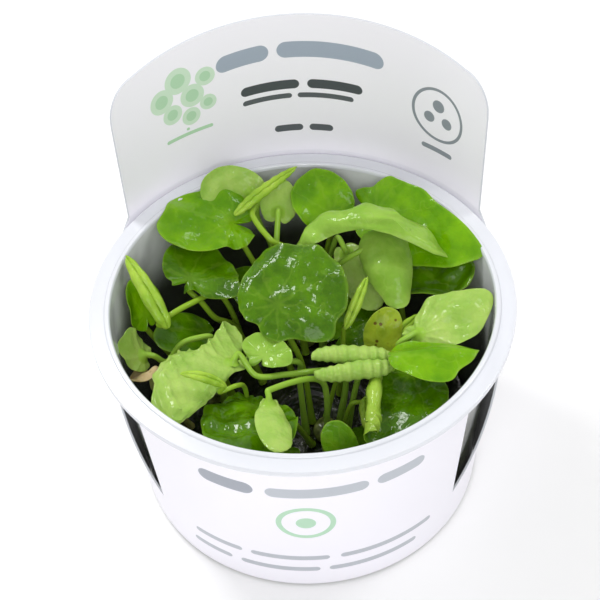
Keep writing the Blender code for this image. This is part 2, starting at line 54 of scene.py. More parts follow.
# The cup
CUP_HEIGHT = 57.5
CUP_BASE_RADIUS = 41.6
CUP_WALL = 0.9
CUP_FLOOR = 1.0
CUP_INNER_LIP_RADIUS = 45.0
CUP_NECK_RADIUS = 45.8
CUP_NECK_HEIGHT = 55.9
FLANGE_RADIUS = 50.0
FLANGE_STEP = 0.5
FLANGE_SKIRT = 1.5
WALL_SHADE_BELOW = 34.0    # the wall is painted dark below this height, as painted shade
WALL_LIGHT_ABOVE = 47.0      # and painted milky pale above this one, as painted light

# The card sleeve
CARD = 0.5
CARD_GAP = 0.55
CARD_FOOT = 0.7
APRON_TOP = 55.0
APRON_HALF_ANGLE = 55.0
SLIT_FOOT = 14.5
SLIT_HALF_ANGLE = 53.5
HEADER_INNER_RADIUS = 50.9
HEADER_LEAN = 0.07
HEADER_HALF_ANGLE = 57.5
HEADER_SHOULDER_ANGLE = 56.0
HEADER_TOP = 98.0
HEADER_ARCH_RADIUS = 216.0
HEADER_CORNER = 9.0
HEADER_ARC_RADIUS = HEADER_INNER_RADIUS + 2.0
SOFT = 0.06         # half the width over which a printed mark's edge fades
DISC_SOFT = 0.08    # and a disc's
HEADER_BOW = 0.0042     # how much the header's printed lines drop toward their ends
APRON_BOW = -0.0011     # and the apron's upper line, which rises

# The growing medium and the crowns
MEDIUM_TOP = 13.0
GAP = 0.3
CROWN_RADIUS = 3.4
CROWN_HEIGHT = 3.6
FOOT_HEIGHT = MEDIUM_TOP + GAP

# The leaves
BLADE = 0.36
PETIOLE_RADIUS = 0.75
STEPS = 12
SPOKES = 120
RINGS = 40
WIDE_LEAF = 16.0    # a wider leaf than this has a finer grid
WIDE_SPOKES = 168
WIDE_RINGS = 54
STALK_SIDES = 24
ROLLED_SIDES = 48
ROLLED_STATIONS = 110
FLARE = 2.0         # reach of the petiole's widening on the blade's lower face
COLLAR = 1.3        # height of that widening
STALK_START = 1.45  # where the round stalk starts, below the blade
LONG_WAVE = (7.0, 16.0, 0.55)   # least and most length, and height as a share of a leaf's crumple
SHORT_WAVE = (3.0, 5.5, 0.16)
WAVES = [LONG_WAVE] * 5 + [SHORT_WAVE] * 3
VEINS = 9           # main veins round the base
CELL = 1 / 0.62     # width of a cell between the fine veins
LEAF_RELIEF = 0.45 * MM
LEAF_BUMP = 0.75

# The camera: 600 pixels across, at this distance and height over the rim's middle
CAMERA_DISTANCE = 350.0
CAMERA_FOCAL_PIXELS = 1497.0
CAMERA_ELEVATION = 47.9
CAMERA_ROLL = -3.46
CAMERA_TURN = 3.3
CAMERA_AIM_UP = -0.87
CAMERA_SHIFT_PIXELS = 1.8
FRAME_PIXELS = 600.0
SENSOR = 36.0

# The floor and the light, in metres and watts: each lamp's name, spot, size and power
FLOOR_HALF = 4.0
ROOM_LIGHT = 0.62
LAMP_AIM = (0.0, 0.0, 0.05)
LAMPS = [
    ("key_softbox", (-0.30, 0.26, 0.60), 0.16, 1.9),
    ("side_softbox", (0.34, 0.16, 0.50), 0.14, 0.6),
    ("front_softbox", (0.03, -0.85, 0.80), 0.60, 4.5),
]


def unit(vector):
    return np.asarray(vector, float) / np.linalg.norm(vector)


def polar(radius, angle, height):
    """Places at a radius, an angle from +Y toward -X, and a height."""
    turn = np.radians(angle)
    radius, turn, height = np.broadcast_arrays(radius, turn, height)
    return np.stack([-radius * np.sin(turn), radius * np.cos(turn), height], axis=-1)


def wall_radius(height):
    """The outside of the cup's wall: it widens evenly from the base to the neck."""
    return CUP_BASE_RADIUS + (CUP_NECK_RADIUS - CUP_BASE_RADIUS) * height / CUP_NECK_HEIGHT


def linear(hex_colour):
    """Linear red, green, blue and 1 from an sRGB hex colour."""
    values = np.array([int(hex_colour[place:place + 2], 16) / 255.0 for place in (1, 3, 5)])
    return (*np.where(values <= 0.04045, values / 12.92, ((values + 0.055) / 1.055) ** 2.4).tolist(), 1.0)


# Materials: kinds of node, each with its settings

FLAT = ("UVMap", {"uv_map": "flat_mm"})
PLACE = ("TexCoord", {})
SPLIT = ("SeparateXYZ", {})
SPLIT_COLOUR = ("SeparateColor", {})        # used for its random numbers, one per grain
SUM = ("Math", {"operation": "ADD"})
DIFFERENCE = ("Math", {"operation": "SUBTRACT"})
PRODUCT = ("Math", {"operation": "MULTIPLY"})
QUOTIENT = ("Math", {"operation": "DIVIDE"})
ROOT = ("Math", {"operation": "SQRT"})
SINE = ("Math", {"operation": "SINE"})
BEARING = ("Math", {"operation": "ARCTAN2"})
SIZE = ("Math", {"operation": "ABSOLUTE"})
HIGHER = ("Math", {"operation": "MAXIMUM"})
OVER = ("Math", {"operation": "GREATER_THAN"})
LENGTH = ("VectorMath", {"operation": "LENGTH"})
DISTANCE = ("VectorMath", {"operation": "DISTANCE"})
SMOOTH = ("MapRange", {"interpolation_type": "SMOOTHSTEP"})
MIXED = ("Mix", {"data_type": "RGBA"})
NOISE = ("TexNoise", {})
FLAT_NOISE = ("TexNoise", {"noise_dimensions": "2D"})
GRAINS = ("TexVoronoi", {})
SOFT_GRAINS = ("TexVoronoi", {"feature": "SMOOTH_F1"})
FLAT_CELLS = ("TexVoronoi", {"voronoi_dimensions": "2D", "feature": "SMOOTH_F1"})
FLAT_NET = ("TexVoronoi", {"voronoi_dimensions": "2D", "feature": "DISTANCE_TO_EDGE"})
BUMP = ("Bump", {})


def fill(node, *values, **named):
    """Links sockets and sets values: in the order of the node's inputs in use, or by an input's name with
    underscores for spaces.
    """
    in_use = [socket for socket in node.inputs if socket.enabled]
    places = [*zip(in_use, values)]
    places += [(node.inputs[name.replace("_", " ")], value) for name, value in named.items()]
    for socket, value in places:
        if isinstance(value, bpy.types.NodeSocket):
            node.id_data.links.new(value, socket)
        else:
            socket.default_value = value


def add(tree, kind, *values, out=None, **named):
    """Adds a node with its settings and fills its inputs. Returns the output named, or its first in use."""
    node = tree.nodes.new("ShaderNode" + kind[0])
    for setting, value in kind[1].items():
        setattr(node, setting, value)
    fill(node, *values, **named)
    return node.outputs[out] if out else next(socket for socket in node.outputs if socket.enabled)


def material(name, **shader_values):
    """A Principled material with plain values on the shader's own sockets, its tree and its shader."""
    made = bpy.data.materials.new(name)
    made.use_nodes = True
    shader = made.node_tree.nodes["Principled BSDF"]
    fill(shader, **shader_values)
    return made, made.node_tree, shader


def per_metre(size):
    """A pattern's repeats in a metre, for features of a size in millimetres."""
    return 1.0 / (size * MM)


def leaf_finish(name, upper, deep, under, under_deep, stalk, wet, spots=0.0):
    """Wet leaf tissue: paler veins that fan out from the base, a net of fine veins between them, and a
    duller, paler lower face. A film of water gives crisp highlights, and light that goes into the thin
    tissue softens its shadows. The petiole takes its own green.
    """
    made, tree, shader = material(
        name, IOR=1.38, Specular_IOR_Level=0.1, Coat_Weight=wet, Coat_Roughness=0.03, Coat_IOR=1.33,
        Subsurface_Weight=0.22, Subsurface_Radius=(0.5, 1.0, 0.2), Subsurface_Scale=MM)
    flat = add(tree, FLAT)
    along = add(tree, SPLIT, flat)
    across = add(tree, SPLIT, flat, out="Y")
    place = add(tree, PLACE, out="Object")
    upper_side = add(tree, ("Attribute", {"attribute_name": "upper"}), out="Fac")
    on_stalk = add(tree, ("Attribute", {"attribute_name": "stalk"}), out="Fac")
    rim = add(tree, ("Attribute", {"attribute_name": "rim"}), out="Fac")

    # Veins: lines of even width along nine bearings, and a net with cells of about 1.6 mm
    wobble = add(tree, FLAT_NOISE, flat, Scale=0.35, Detail=1.0)
    bearing = add(tree, BEARING, across, along)
    bearing = add(tree, SUM, bearing, add(tree, PRODUCT, wobble, 0.5))
    distance = add(tree, LENGTH, flat)
    fan = add(tree, SINE, add(tree, PRODUCT, bearing, VEINS / 2))
    fan = add(tree, PRODUCT, add(tree, SIZE, fan), distance)
    fan = add(tree, QUOTIENT, fan, VEINS / 2)
    main_vein = add(tree, SMOOTH, fan, 0.12, 0.5, 1.0, 0.0)
    net = add(tree, FLAT_NET, flat, Scale=1 / CELL)
    net_vein = add(tree, SMOOTH, net, 0.02, 0.12, 0.55, 0.0)
    vein = add(tree, HIGHER, main_vein, net_vein)

    # Colour: soft patches of about 6 mm, veins, the thin margin, brown spots 2 mm apart and the stalk
    mottle = add(tree, NOISE, place, Scale=per_metre(5.882), Detail=3.0, Roughness=0.55)
    patch = add(tree, SMOOTH, mottle, 0.3, 0.7, 0.0, 1.0)
    lit = add(tree, MIXED, patch, linear(deep), linear(upper))
    faint = add(tree, PRODUCT, main_vein, 0.10)
    lit = add(tree, MIXED, faint, lit, linear(under))
    dull = add(tree, MIXED, patch, linear(under_deep), linear(under))
    clear = add(tree, PRODUCT, vein, 0.16)
    dull = add(tree, MIXED, clear, dull, linear(stalk))
    tissue = add(tree, MIXED, upper_side, dull, lit)
    thin = add(tree, SMOOTH, rim, 0.94, 1.0, 0.0, 0.2)
    tissue = add(tree, MIXED, thin, tissue, linear(under))
    if spots:
        speck = add(tree, GRAINS, place, Scale=per_metre(1.923))
        brown = add(tree, SMOOTH, speck, 0.16, 0.30, spots, 0.0)
        tissue = add(tree, MIXED, brown, tissue, linear("#5a3d14"))
    tissue = add(tree, MIXED, on_stalk, tissue, linear(stalk))

    # Relief: cells between the veins, sunken veins, pits below, grain of 1 mm, which is coarser than the
    # real grain so that it shows, and one bead of water in about seventeen cells of 2.3 mm
    cells = add(tree, FLAT_CELLS, flat, Scale=1 / CELL, Smoothness=0.6)
    height = add(tree, PRODUCT, add(tree, DIFFERENCE, 1.0, cells), 0.2)
    pits = add(tree, SOFT_GRAINS, place, Scale=per_metre(0.909), Smoothness=0.4)
    pit_depth = add(tree, SMOOTH, upper_side, 0.0, 1.0, 0.22, 0.04)
    grain = add(tree, NOISE, place, Scale=per_metre(1.111), Detail=2.0)
    for way, pattern, depth in [(DIFFERENCE, pits, pit_depth), (DIFFERENCE, vein, 0.07), (SUM, grain, 0.05)]:
        height = add(tree, way, height, add(tree, PRODUCT, pattern, depth))
    height = add(tree, PRODUCT, height, add(tree, DIFFERENCE, 1.0, on_stalk))
    bead = add(tree, GRAINS, place, Scale=per_metre(2.326))
    chance = add(tree, GRAINS, place, Scale=per_metre(2.326), out="Color")
    kept = add(tree, OVER, add(tree, SPLIT_COLOUR, chance), 0.94)
    dome = add(tree, ROOT, add(tree, SMOOTH, bead, 0.0, 0.24, 1.0, 0.0))
    dome = add(tree, PRODUCT, dome, kept)
    height = add(tree, SUM, height, add(tree, PRODUCT, dome, 0.5))
    skin = add(tree, BUMP, Strength=LEAF_BUMP, Distance=LEAF_RELIEF, Height=height)
    film = add(tree, NOISE, place, Scale=per_metre(3.03), Detail=1.0)
    height = add(tree, SUM, height, add(tree, PRODUCT, film, 0.45))
    water = add(tree, BUMP, Strength=LEAF_BUMP, Distance=LEAF_RELIEF, Height=height)
    rough = add(tree, SMOOTH, upper_side, 0.0, 1.0, 0.46, 0.30)
    fill(shader, Base_Color=tissue, Roughness=rough, Normal=skin, Coat_Normal=water)
    return made


# Meshes

def piece(name, points, faces, finishes, uv=None, marks=None, face_finish=None, sharp=55.0):
    """A mesh object at the origin from points in millimetres, faces of point numbers, and marks, which are
    values per point that its finish reads.
    """
    mesh = bpy.data.meshes.new(name)
    mesh.from_pydata((np.asarray(points, float) * MM).tolist(), [], faces)
    for finish in finishes:
        mesh.materials.append(finish)
    corners = np.empty(len(mesh.loops), np.int32)
    mesh.loops.foreach_get("vertex_index", corners)
    if uv is not None:
        layer = mesh.uv_layers.new(name="flat_mm")
        layer.data.foreach_set("uv", np.asarray(uv, np.float32)[corners].ravel())
    for mark, values in (marks or {}).items():
        layer = mesh.attributes.new(mark, "FLOAT", "POINT")
        layer.data.foreach_set("value", np.asarray(values, np.float32))
    if face_finish is not None:
        mesh.polygons.foreach_set("material_index", np.asarray(face_finish, np.int32))
    mesh.shade_smooth()
    mesh.set_sharp_from_angle(angle=math.radians(sharp))
    mesh.update()
    made = bpy.data.objects.new(name, mesh)
    bpy.context.scene.collection.objects.link(made)
    return made


def skin_faces(counts):
    """Faces of a closed skin over rings of points, as arrays of whole rings.

    Between rings of one size they are four-sided. Where a ring has fewer points than the one before, each
    of its points takes a fan of the same number of the other's. A ring of one point is a pole.
    """
    starts = np.cumsum([0, *counts])
    faces = []
    for ring, (low, high) in enumerate(zip(counts, counts[1:])):
        a, b = starts[ring], starts[ring + 1]
        if low == 1:
            place = np.arange(high)
            faces.append(np.stack([a + 0 * place, b + place, b + (place + 1) % high], axis=1))
        elif high == 1:
            place = np.arange(low)
            faces.append(np.stack([a + place, b + 0 * place, a + (place + 1) % low], axis=1))
        elif low == high:
            place = np.arange(low)
            after = (place + 1) % low
            faces.append(np.stack([a + place, b + place, b + after, a + after], axis=1))
        else:
            each = low // high
            place = np.arange(low)
            near = ((place + (each + 1) // 2) // each) % high
            faces.append(np.stack([a + place, b + near, a + (place + 1) % low], axis=1))
            place = np.arange(high)
            split = (place * each + each // 2) % low
            faces.append(np.stack([a + split, b + place, b + (place + 1) % high], axis=1))
    return [face for block in faces for face in block.tolist()]


@dataclass
class Leaf:
    """A leaf's places and bends, and how its surface is worked.

    base is where the petiole joins the blade, tip the blade's far end, and left a place to the left of
    the midrib as seen from above. arch bends the midrib down toward the tip and heel does so for the
    lobes. cup, fold and curl turn each side up: evenly, along the midrib and near the margin, for the
    left and the right side. sides makes a side narrower and furl turns the sides more toward the tip.
    out says how far below and behind the base the petiole passes before it turns down.
    pleat is the height of the ribs that fan out, crumple that of the uneven waves and ruffle that of
    the margin's waves, in millimetres. ribs counts the ribs all round. step, where given, is the way
    between pleats that cross the midrib. swells are angles from the tip, shares by which the outline
    grows there, and how wide. puckers counts a roll's bulges and spread parts its two rolls at the tip.
    """

    name: str
    base: tuple
    tip: tuple
    left: tuple
    width: float
    foot: tuple
    tone: str = "fresh"
    via: tuple = ()
    arch: float = 20.0
    heel: float = 15.0
    cup: tuple = (10.0, 10.0)
    fold: tuple = (0.0, 0.0)
    curl: tuple = (0.0, 0.0)
    lobe: float = 0.36
    notch: float = 0.8
    sides: tuple = (1.0, 1.0)
    furl: float = 0.0
    rolled: bool = False
    stem: float = PETIOLE_RADIUS
    out: tuple = (2.6, 1.2)
    pleat: float = 0.08
    ribs: int = 9
    step: float = 0.0
    crumple: float = 0.3
    ruffle: float = 0.3
    swells: tuple = ()
    puckers: int = 9
    blunt: float = 0.45
    spread: float = 0.0

    def __post_init__(self):
        self.foot = (*self.foot, FOOT_HEIGHT)
        for place in ("base", "tip", "left", "foot", "sides"):
            setattr(self, place, np.array(getattr(self, place), float))
        for turn in ("arch", "heel", "cup", "fold", "curl"):
            setattr(self, turn, np.radians(getattr(self, turn)))
        chord = self.tip - self.base
        ahead = unit(chord)
        up = unit(np.cross(ahead, self.left - self.base))
        half = self.arch / 2.0
        self.ahead = ahead * math.cos(half) + up * math.sin(half)
        self.up = up * math.cos(half) - ahead * math.sin(half)
        self.side = np.cross(self.up, self.ahead)
        self.length = np.linalg.norm(chord) * (half / math.sin(half) if half else 1.0)


def bent(x, y, leaf):
    """The place of a flat blade's point, x toward the tip and y toward the left margin.

    Along the midrib the slope grows evenly, so the midrib is an arc. Across it the slope is fold, which
    starts within a tenth of the half width, plus cup times the share of the half width, plus curl times
    that share cubed. Adding up cosines and sines of the slopes gives the arcs, so lengths are kept.
    """
    steps = (np.arange(STEPS) + 0.5) / STEPS
    share = np.abs(y) / (leaf.width / 2.0)
    turn = np.where(x >= 0.0, leaf.arch, leaf.heel) * np.abs(x) / leaf.length
    slopes = turn[..., None] * steps
    along = x * np.cos(slopes).mean(axis=-1)
    drop = np.abs(x) * np.sin(slopes).mean(axis=-1)
    forward = np.where(x >= 0.0, 1.0, -1.0)
    side = np.where(y >= 0.0, 0, 1)
    part = share[..., None] * steps
    slope = (leaf.fold[side][..., None] * (1.0 - np.exp(-10.0 * part)) + leaf.cup[side][..., None] * part
             + leaf.curl[side][..., None] * part ** 3) * (1.0 + leaf.furl * x / leaf.length)[..., None]
    across = y * np.cos(slope).mean(axis=-1)
    lift = np.abs(y) * np.sin(slope).mean(axis=-1)
    up = leaf.up * np.cos(turn)[..., None] + leaf.ahead * (forward * np.sin(turn))[..., None]
    return (leaf.base + leaf.ahead * along[..., None] - leaf.up * drop[..., None]
            + leaf.side * across[..., None] + up * lift[..., None])


def blade_surface(x, y, leaf):
    """Places and unit normals of the bent blade, the normals from small steps in x and y."""
    near = 0.05
    place = bent(x, y, leaf)
    normal = np.cross(bent(x + near, y, leaf) - bent(x - near, y, leaf),
                      bent(x, y + near, leaf) - bent(x, y - near, leaf))
    return place, normal / np.linalg.norm(normal, axis=-1)[..., None]


def reach(angle, leaf):
    """How far the heart-shaped outline is from the base: an ellipse round it, with a notch at the back."""
    back = leaf.lobe * leaf.length
    centre = (leaf.length - back) / 2.0
    long = (leaf.length + back) / 2.0
    wide = leaf.width / 2.0
    a = (np.cos(angle) / long) ** 2 + (np.sin(angle) / wide) ** 2
    b = -2.0 * centre * np.cos(angle) / long ** 2
    c = (centre / long) ** 2 - 1.0
    whole = (-b + np.sqrt(b * b - 4.0 * a * c)) / (2.0 * a)
    notch = np.exp(-((math.pi - np.abs(angle)) / 0.25) ** 2)
    for toward, more, wide in leaf.swells:
        apart = (angle - math.radians(toward) + math.pi) % (2 * math.pi) - math.pi
        whole = whole * (1.0 + more * np.exp(-(apart / math.radians(wide)) ** 2))
    return np.maximum(whole * (1.0 - leaf.notch * notch), 1.3)


def relief(x, y, angle, share, leaf, luck):
    """How far the blade's middle rises, in millimetres: ribs that fan out from the base and swell toward
    the margin, long and short uneven waves in every direction, and waves of the margin itself.
    """
    distance = np.hypot(x, y)
    near_base = 1.0 - np.exp(-(distance / 4.0) ** 2)
    wander = 0.25 * np.sin(0.5 * distance + luck.uniform(0, 6))
    ribs = np.abs(np.sin(leaf.ribs / 2.0 * angle + wander)) ** 0.7 - 0.6
    growth = 0.4 + 0.6 * share
    if leaf.step:
        ribs = np.abs(np.sin(math.pi * (x + 0.6 * np.abs(y)) / leaf.step)) ** 0.6 - 0.6
        growth = share ** 2.2
    rise = leaf.pleat * ribs * near_base * growth
    for wave, (least, most, height) in enumerate(WAVES):
        heading = luck.uniform(0, math.pi)
        length = luck.uniform(least, most)
        phase = luck.uniform(0, 2 * math.pi)
        swing = (x * math.cos(heading) + y * math.sin(heading)) * 2 * math.pi / length
        bend = 0.8 * np.sin(0.35 * distance + wave)
        rise = rise + leaf.crumple * height * np.sin(swing + phase + bend) * near_base
    count = max(3, round(leaf.width * 0.25))
    edge = np.sin(count * angle + luck.uniform(0, 6))
    edge = edge + 0.5 * np.sin(2.3 * count * angle + luck.uniform(0, 6))
    return rise + leaf.ruffle * edge * share ** 3


def smooth_path(places, per_span):
    """Points on a curve through the places: between each two a cubic, whose slope at a place is the
    chord from the place before to the place after over the way between them.
    """
    places = np.array(places)
    padded = np.vstack([2 * places[0] - places[1], places, 2 * places[-1] - places[-2]])
    ways = np.linalg.norm(np.diff(padded, axis=0), axis=1)
    slopes = (padded[2:] - padded[:-2]) / (ways[1:] + ways[:-1])[:, None]
    share = np.linspace(0.0, 1.0, per_span, endpoint=False)[:, None]
    curve = []
    for start, end, leave, arrive, way in zip(places, places[1:], slopes, slopes[1:], ways[1:]):
        chord = end - start
        second = 3 * chord - way * (2 * leave + arrive)
        third = way * (leave + arrive) - 2 * chord
        curve.append(start + share * (way * leave + share * (second + share * third)))
    return np.vstack([*curve, places[-1:]])


def stalk_rings(path, radius, across, turn):
    """Rings of a round stalk along a path away from the blade, carried on without twist from across."""
    ahead = np.gradient(path, axis=0)
    ahead /= np.linalg.norm(ahead, axis=1)[:, None]
    rings = []
    for place, direction, wide in zip(path, ahead, np.broadcast_to(radius, len(path))):
        across = unit(across - direction * np.dot(across, direction))
        other = np.cross(across, direction)
        rings.append(place + wide * (np.cos(turn)[:, None] * across + np.sin(turn)[:, None] * other))
    return rings


def petiole_path(leaf, start):
    """The stalk's smooth path from the blade down to its foot, through the chosen passing places."""
    below, behind = leaf.out
    run_in = leaf.base - leaf.up * below - leaf.ahead * behind
    return smooth_path([start, run_in, *reversed(leaf.via), leaf.foot], 14)


def stalk_radius(leaf, count):
    """A little thinner toward the blade and wider at the foot, where it sheathes the crown."""
    share = np.linspace(0.0, 1.0, count)
    return leaf.stem * (0.92 + 0.08 * share + 0.5 * np.clip((share - 0.85) / 0.15, 0, 1) ** 2)


def open_leaf(leaf, luck):
    """A heart-shaped blade and its petiole in one skin: out over the upper face, round a thin margin,
    back under the lower face, down a widening into the stalk, and to its foot.
    """
    wide = leaf.width > WIDE_LEAF
    spokes = WIDE_SPOKES if wide else SPOKES
    rings = WIDE_RINGS if wide else RINGS
    share = -1.0 + 2.0 * np.arange(spokes) / spokes
    angle = math.pi * share + 0.45 * np.sin(math.pi * share)
    coarse = 0.012 * np.sin(5 * angle + luck.uniform(0, 6))
    fine = 0.006 * np.sin(17 * angle + luck.uniform(0, 6))
    rim = reach(angle, leaf) * (1.0 + coarse + fine)
    if leaf.step:
        run = rim * np.cos(angle) + 0.6 * np.abs(rim * np.sin(angle))
        rim = rim * (0.96 + 0.06 * np.abs(np.sin(math.pi * run / leaf.step)))
    inner = np.minimum(FLARE, 0.72 * rim)
    narrow = np.where(angle >= 0.0, *leaf.sides)
    seed = luck.integers(1 << 30)

    def face(radius, part, lift):
        x = radius * np.cos(angle)
        y = radius * np.sin(angle) * narrow
        place, normal = blade_surface(x, y, leaf)
        rise = relief(x, y, angle, part, leaf, np.random.default_rng(seed))
        return place + normal * (rise + lift)[..., None], np.stack([x, y], axis=-1), part

    out = (np.arange(1, rings + 1) / rings)[:, None] ** 0.85 + 0.0 * angle
    thick = BLADE / 2.0 * (1.0 - 0.45 * out ** 6)
    upper = face(out * rim, out, thick)
    margin = face(rim[None] + 0.08, np.ones((1, spokes)), np.zeros((1, spokes)))
    back = (np.arange(rings, -1, -1) / rings)[:, None] ** 0.85 + 0.0 * angle
    radius_back = inner + (rim - inner) * back
    lower = face(radius_back, radius_back / rim, -BLADE / 2.0 * (1.0 - 0.45 * back ** 6))
    middle = face(np.zeros((1, 1)) + 0.0 * angle[:1], np.zeros((1, 1)), np.full((1, 1), BLADE / 2.0))

    down = np.array([0.2, 0.45, 0.7, 1.0])[:, None]
    flare = leaf.stem + (inner - leaf.stem) * (1.0 - down) ** 2
    spread = np.cos(angle)[None, :, None] * leaf.ahead + np.sin(angle)[None, :, None] * leaf.side
    collar = leaf.base - leaf.up * (BLADE / 2.0 + COLLAR * down[..., None]) + spread * flare[..., None]

    each = spokes // STALK_SIDES
    turn = angle[::each]
    path = petiole_path(leaf, leaf.base - leaf.up * (BLADE / 2.0 + STALK_START))
    stalk = stalk_rings(path, stalk_radius(leaf, len(path)), leaf.ahead, turn)

    grown = [middle[0].reshape(-1, 3)[:1], *upper[0], *margin[0], *lower[0], *collar, *stalk, path[-1:]]
    flat = [middle[1].reshape(-1, 2)[:1], *upper[1], *margin[1], *lower[1]]
    part = [np.zeros(1), *upper[2], *margin[2], *lower[2]]
    blade_points = sum(len(ring) for ring in flat)
    points = np.vstack(grown)
    uv = np.zeros((len(points), 2))
    uv[:blade_points] = np.vstack(flat)
    rim_share = np.zeros(len(points))
    rim_share[:blade_points] = np.concatenate(part)
    top = np.zeros(len(points))
    top[:1 + rings * spokes] = 1.0
    on_stalk = np.zeros(len(points))
    on_stalk[blade_points:] = 1.0
    on_stalk[blade_points - spokes:blade_points] = 0.5
    faces = skin_faces([len(ring) for ring in grown])
    return points, faces, uv, {"upper": top, "rim": rim_share, "stalk": on_stalk}


def rolled_leaf(leaf, luck):
    """A young blade with both margins rolled in: two puckered rolls side by side along the midrib, each a
    round tube that narrows to its ends, and the petiole that comes in between them.
    """
    back = -leaf.lobe * leaf.length
    share = np.linspace(1.0, 0.0, ROLLED_STATIONS)[:, None]
    taper = np.sin(math.pi * np.clip(share, 0.002, 0.998) ** 0.8) ** leaf.blunt
    turn = -2.0 * math.pi * np.arange(ROLLED_SIDES)[None, :] / ROLLED_SIDES
    shells, flats, stalks = [], [], []
    for side in (1.0, -1.0):
        phase = luck.uniform(0, 6)
        swing = 2 * math.pi * leaf.puckers * share + 1.3 * np.sin(7 * share) + phase
        pucker = 1.0 + 0.09 * np.sin(swing) * (1.0 + 0.3 * np.sin(2 * turn))
        radius = leaf.width / 4.0 * taper * pucker
        middle = side * (leaf.width / 4.0 * 0.93 * taper + leaf.spread * np.clip(share - 0.4, 0, 1))
        stop = 0.05 * luck.uniform(-1, 1)
        x = back + (leaf.length - back) * (share * (1.0 + stop)) + 0.0 * turn
        place, normal = blade_surface(x, middle + radius * np.cos(turn), leaf)
        tube = place + normal * (radius * np.sin(turn))[..., None]
        shells.append([tube[0].mean(axis=0)[None], *tube, tube[-1].mean(axis=0)[None]])
        flat = np.stack([x, leaf.width * np.sin(turn) + 0.0 * x], axis=-1)
        flats.append(np.vstack([flat[0, :1], flat.reshape(-1, 2), flat[-1, :1]]))
        stalks.append(np.zeros(len(flats[-1])))
    grown_in = leaf.lobe >= 0.3
    start = leaf.base if grown_in else blade_surface(np.array([back * 0.8]), np.zeros(1), leaf)[0][0]
    path = petiole_path(leaf, start)
    sides = 2 * math.pi * np.arange(ROLLED_SIDES // 3) / (ROLLED_SIDES // 3)
    across = leaf.ahead if grown_in else leaf.side
    stalk = [path[:1], *stalk_rings(path, stalk_radius(leaf, len(path)), across, sides), path[-1:]]
    shells.append(stalk)
    flats.append(np.zeros((sum(len(ring) for ring in stalk), 2)))
    stalks.append(np.ones(len(flats[-1])))
    faces = []
    begun = 0
    for shell in shells:
        faces += [[corner + begun for corner in face] for face in skin_faces([len(ring) for ring in shell])]
        begun += sum(len(ring) for ring in shell)
    points = np.vstack([ring for shell in shells for ring in shell])
    none = np.zeros(len(points))
    return points, faces, np.vstack(flats), {"upper": none, "rim": none, "stalk": np.concatenate(stalks)}


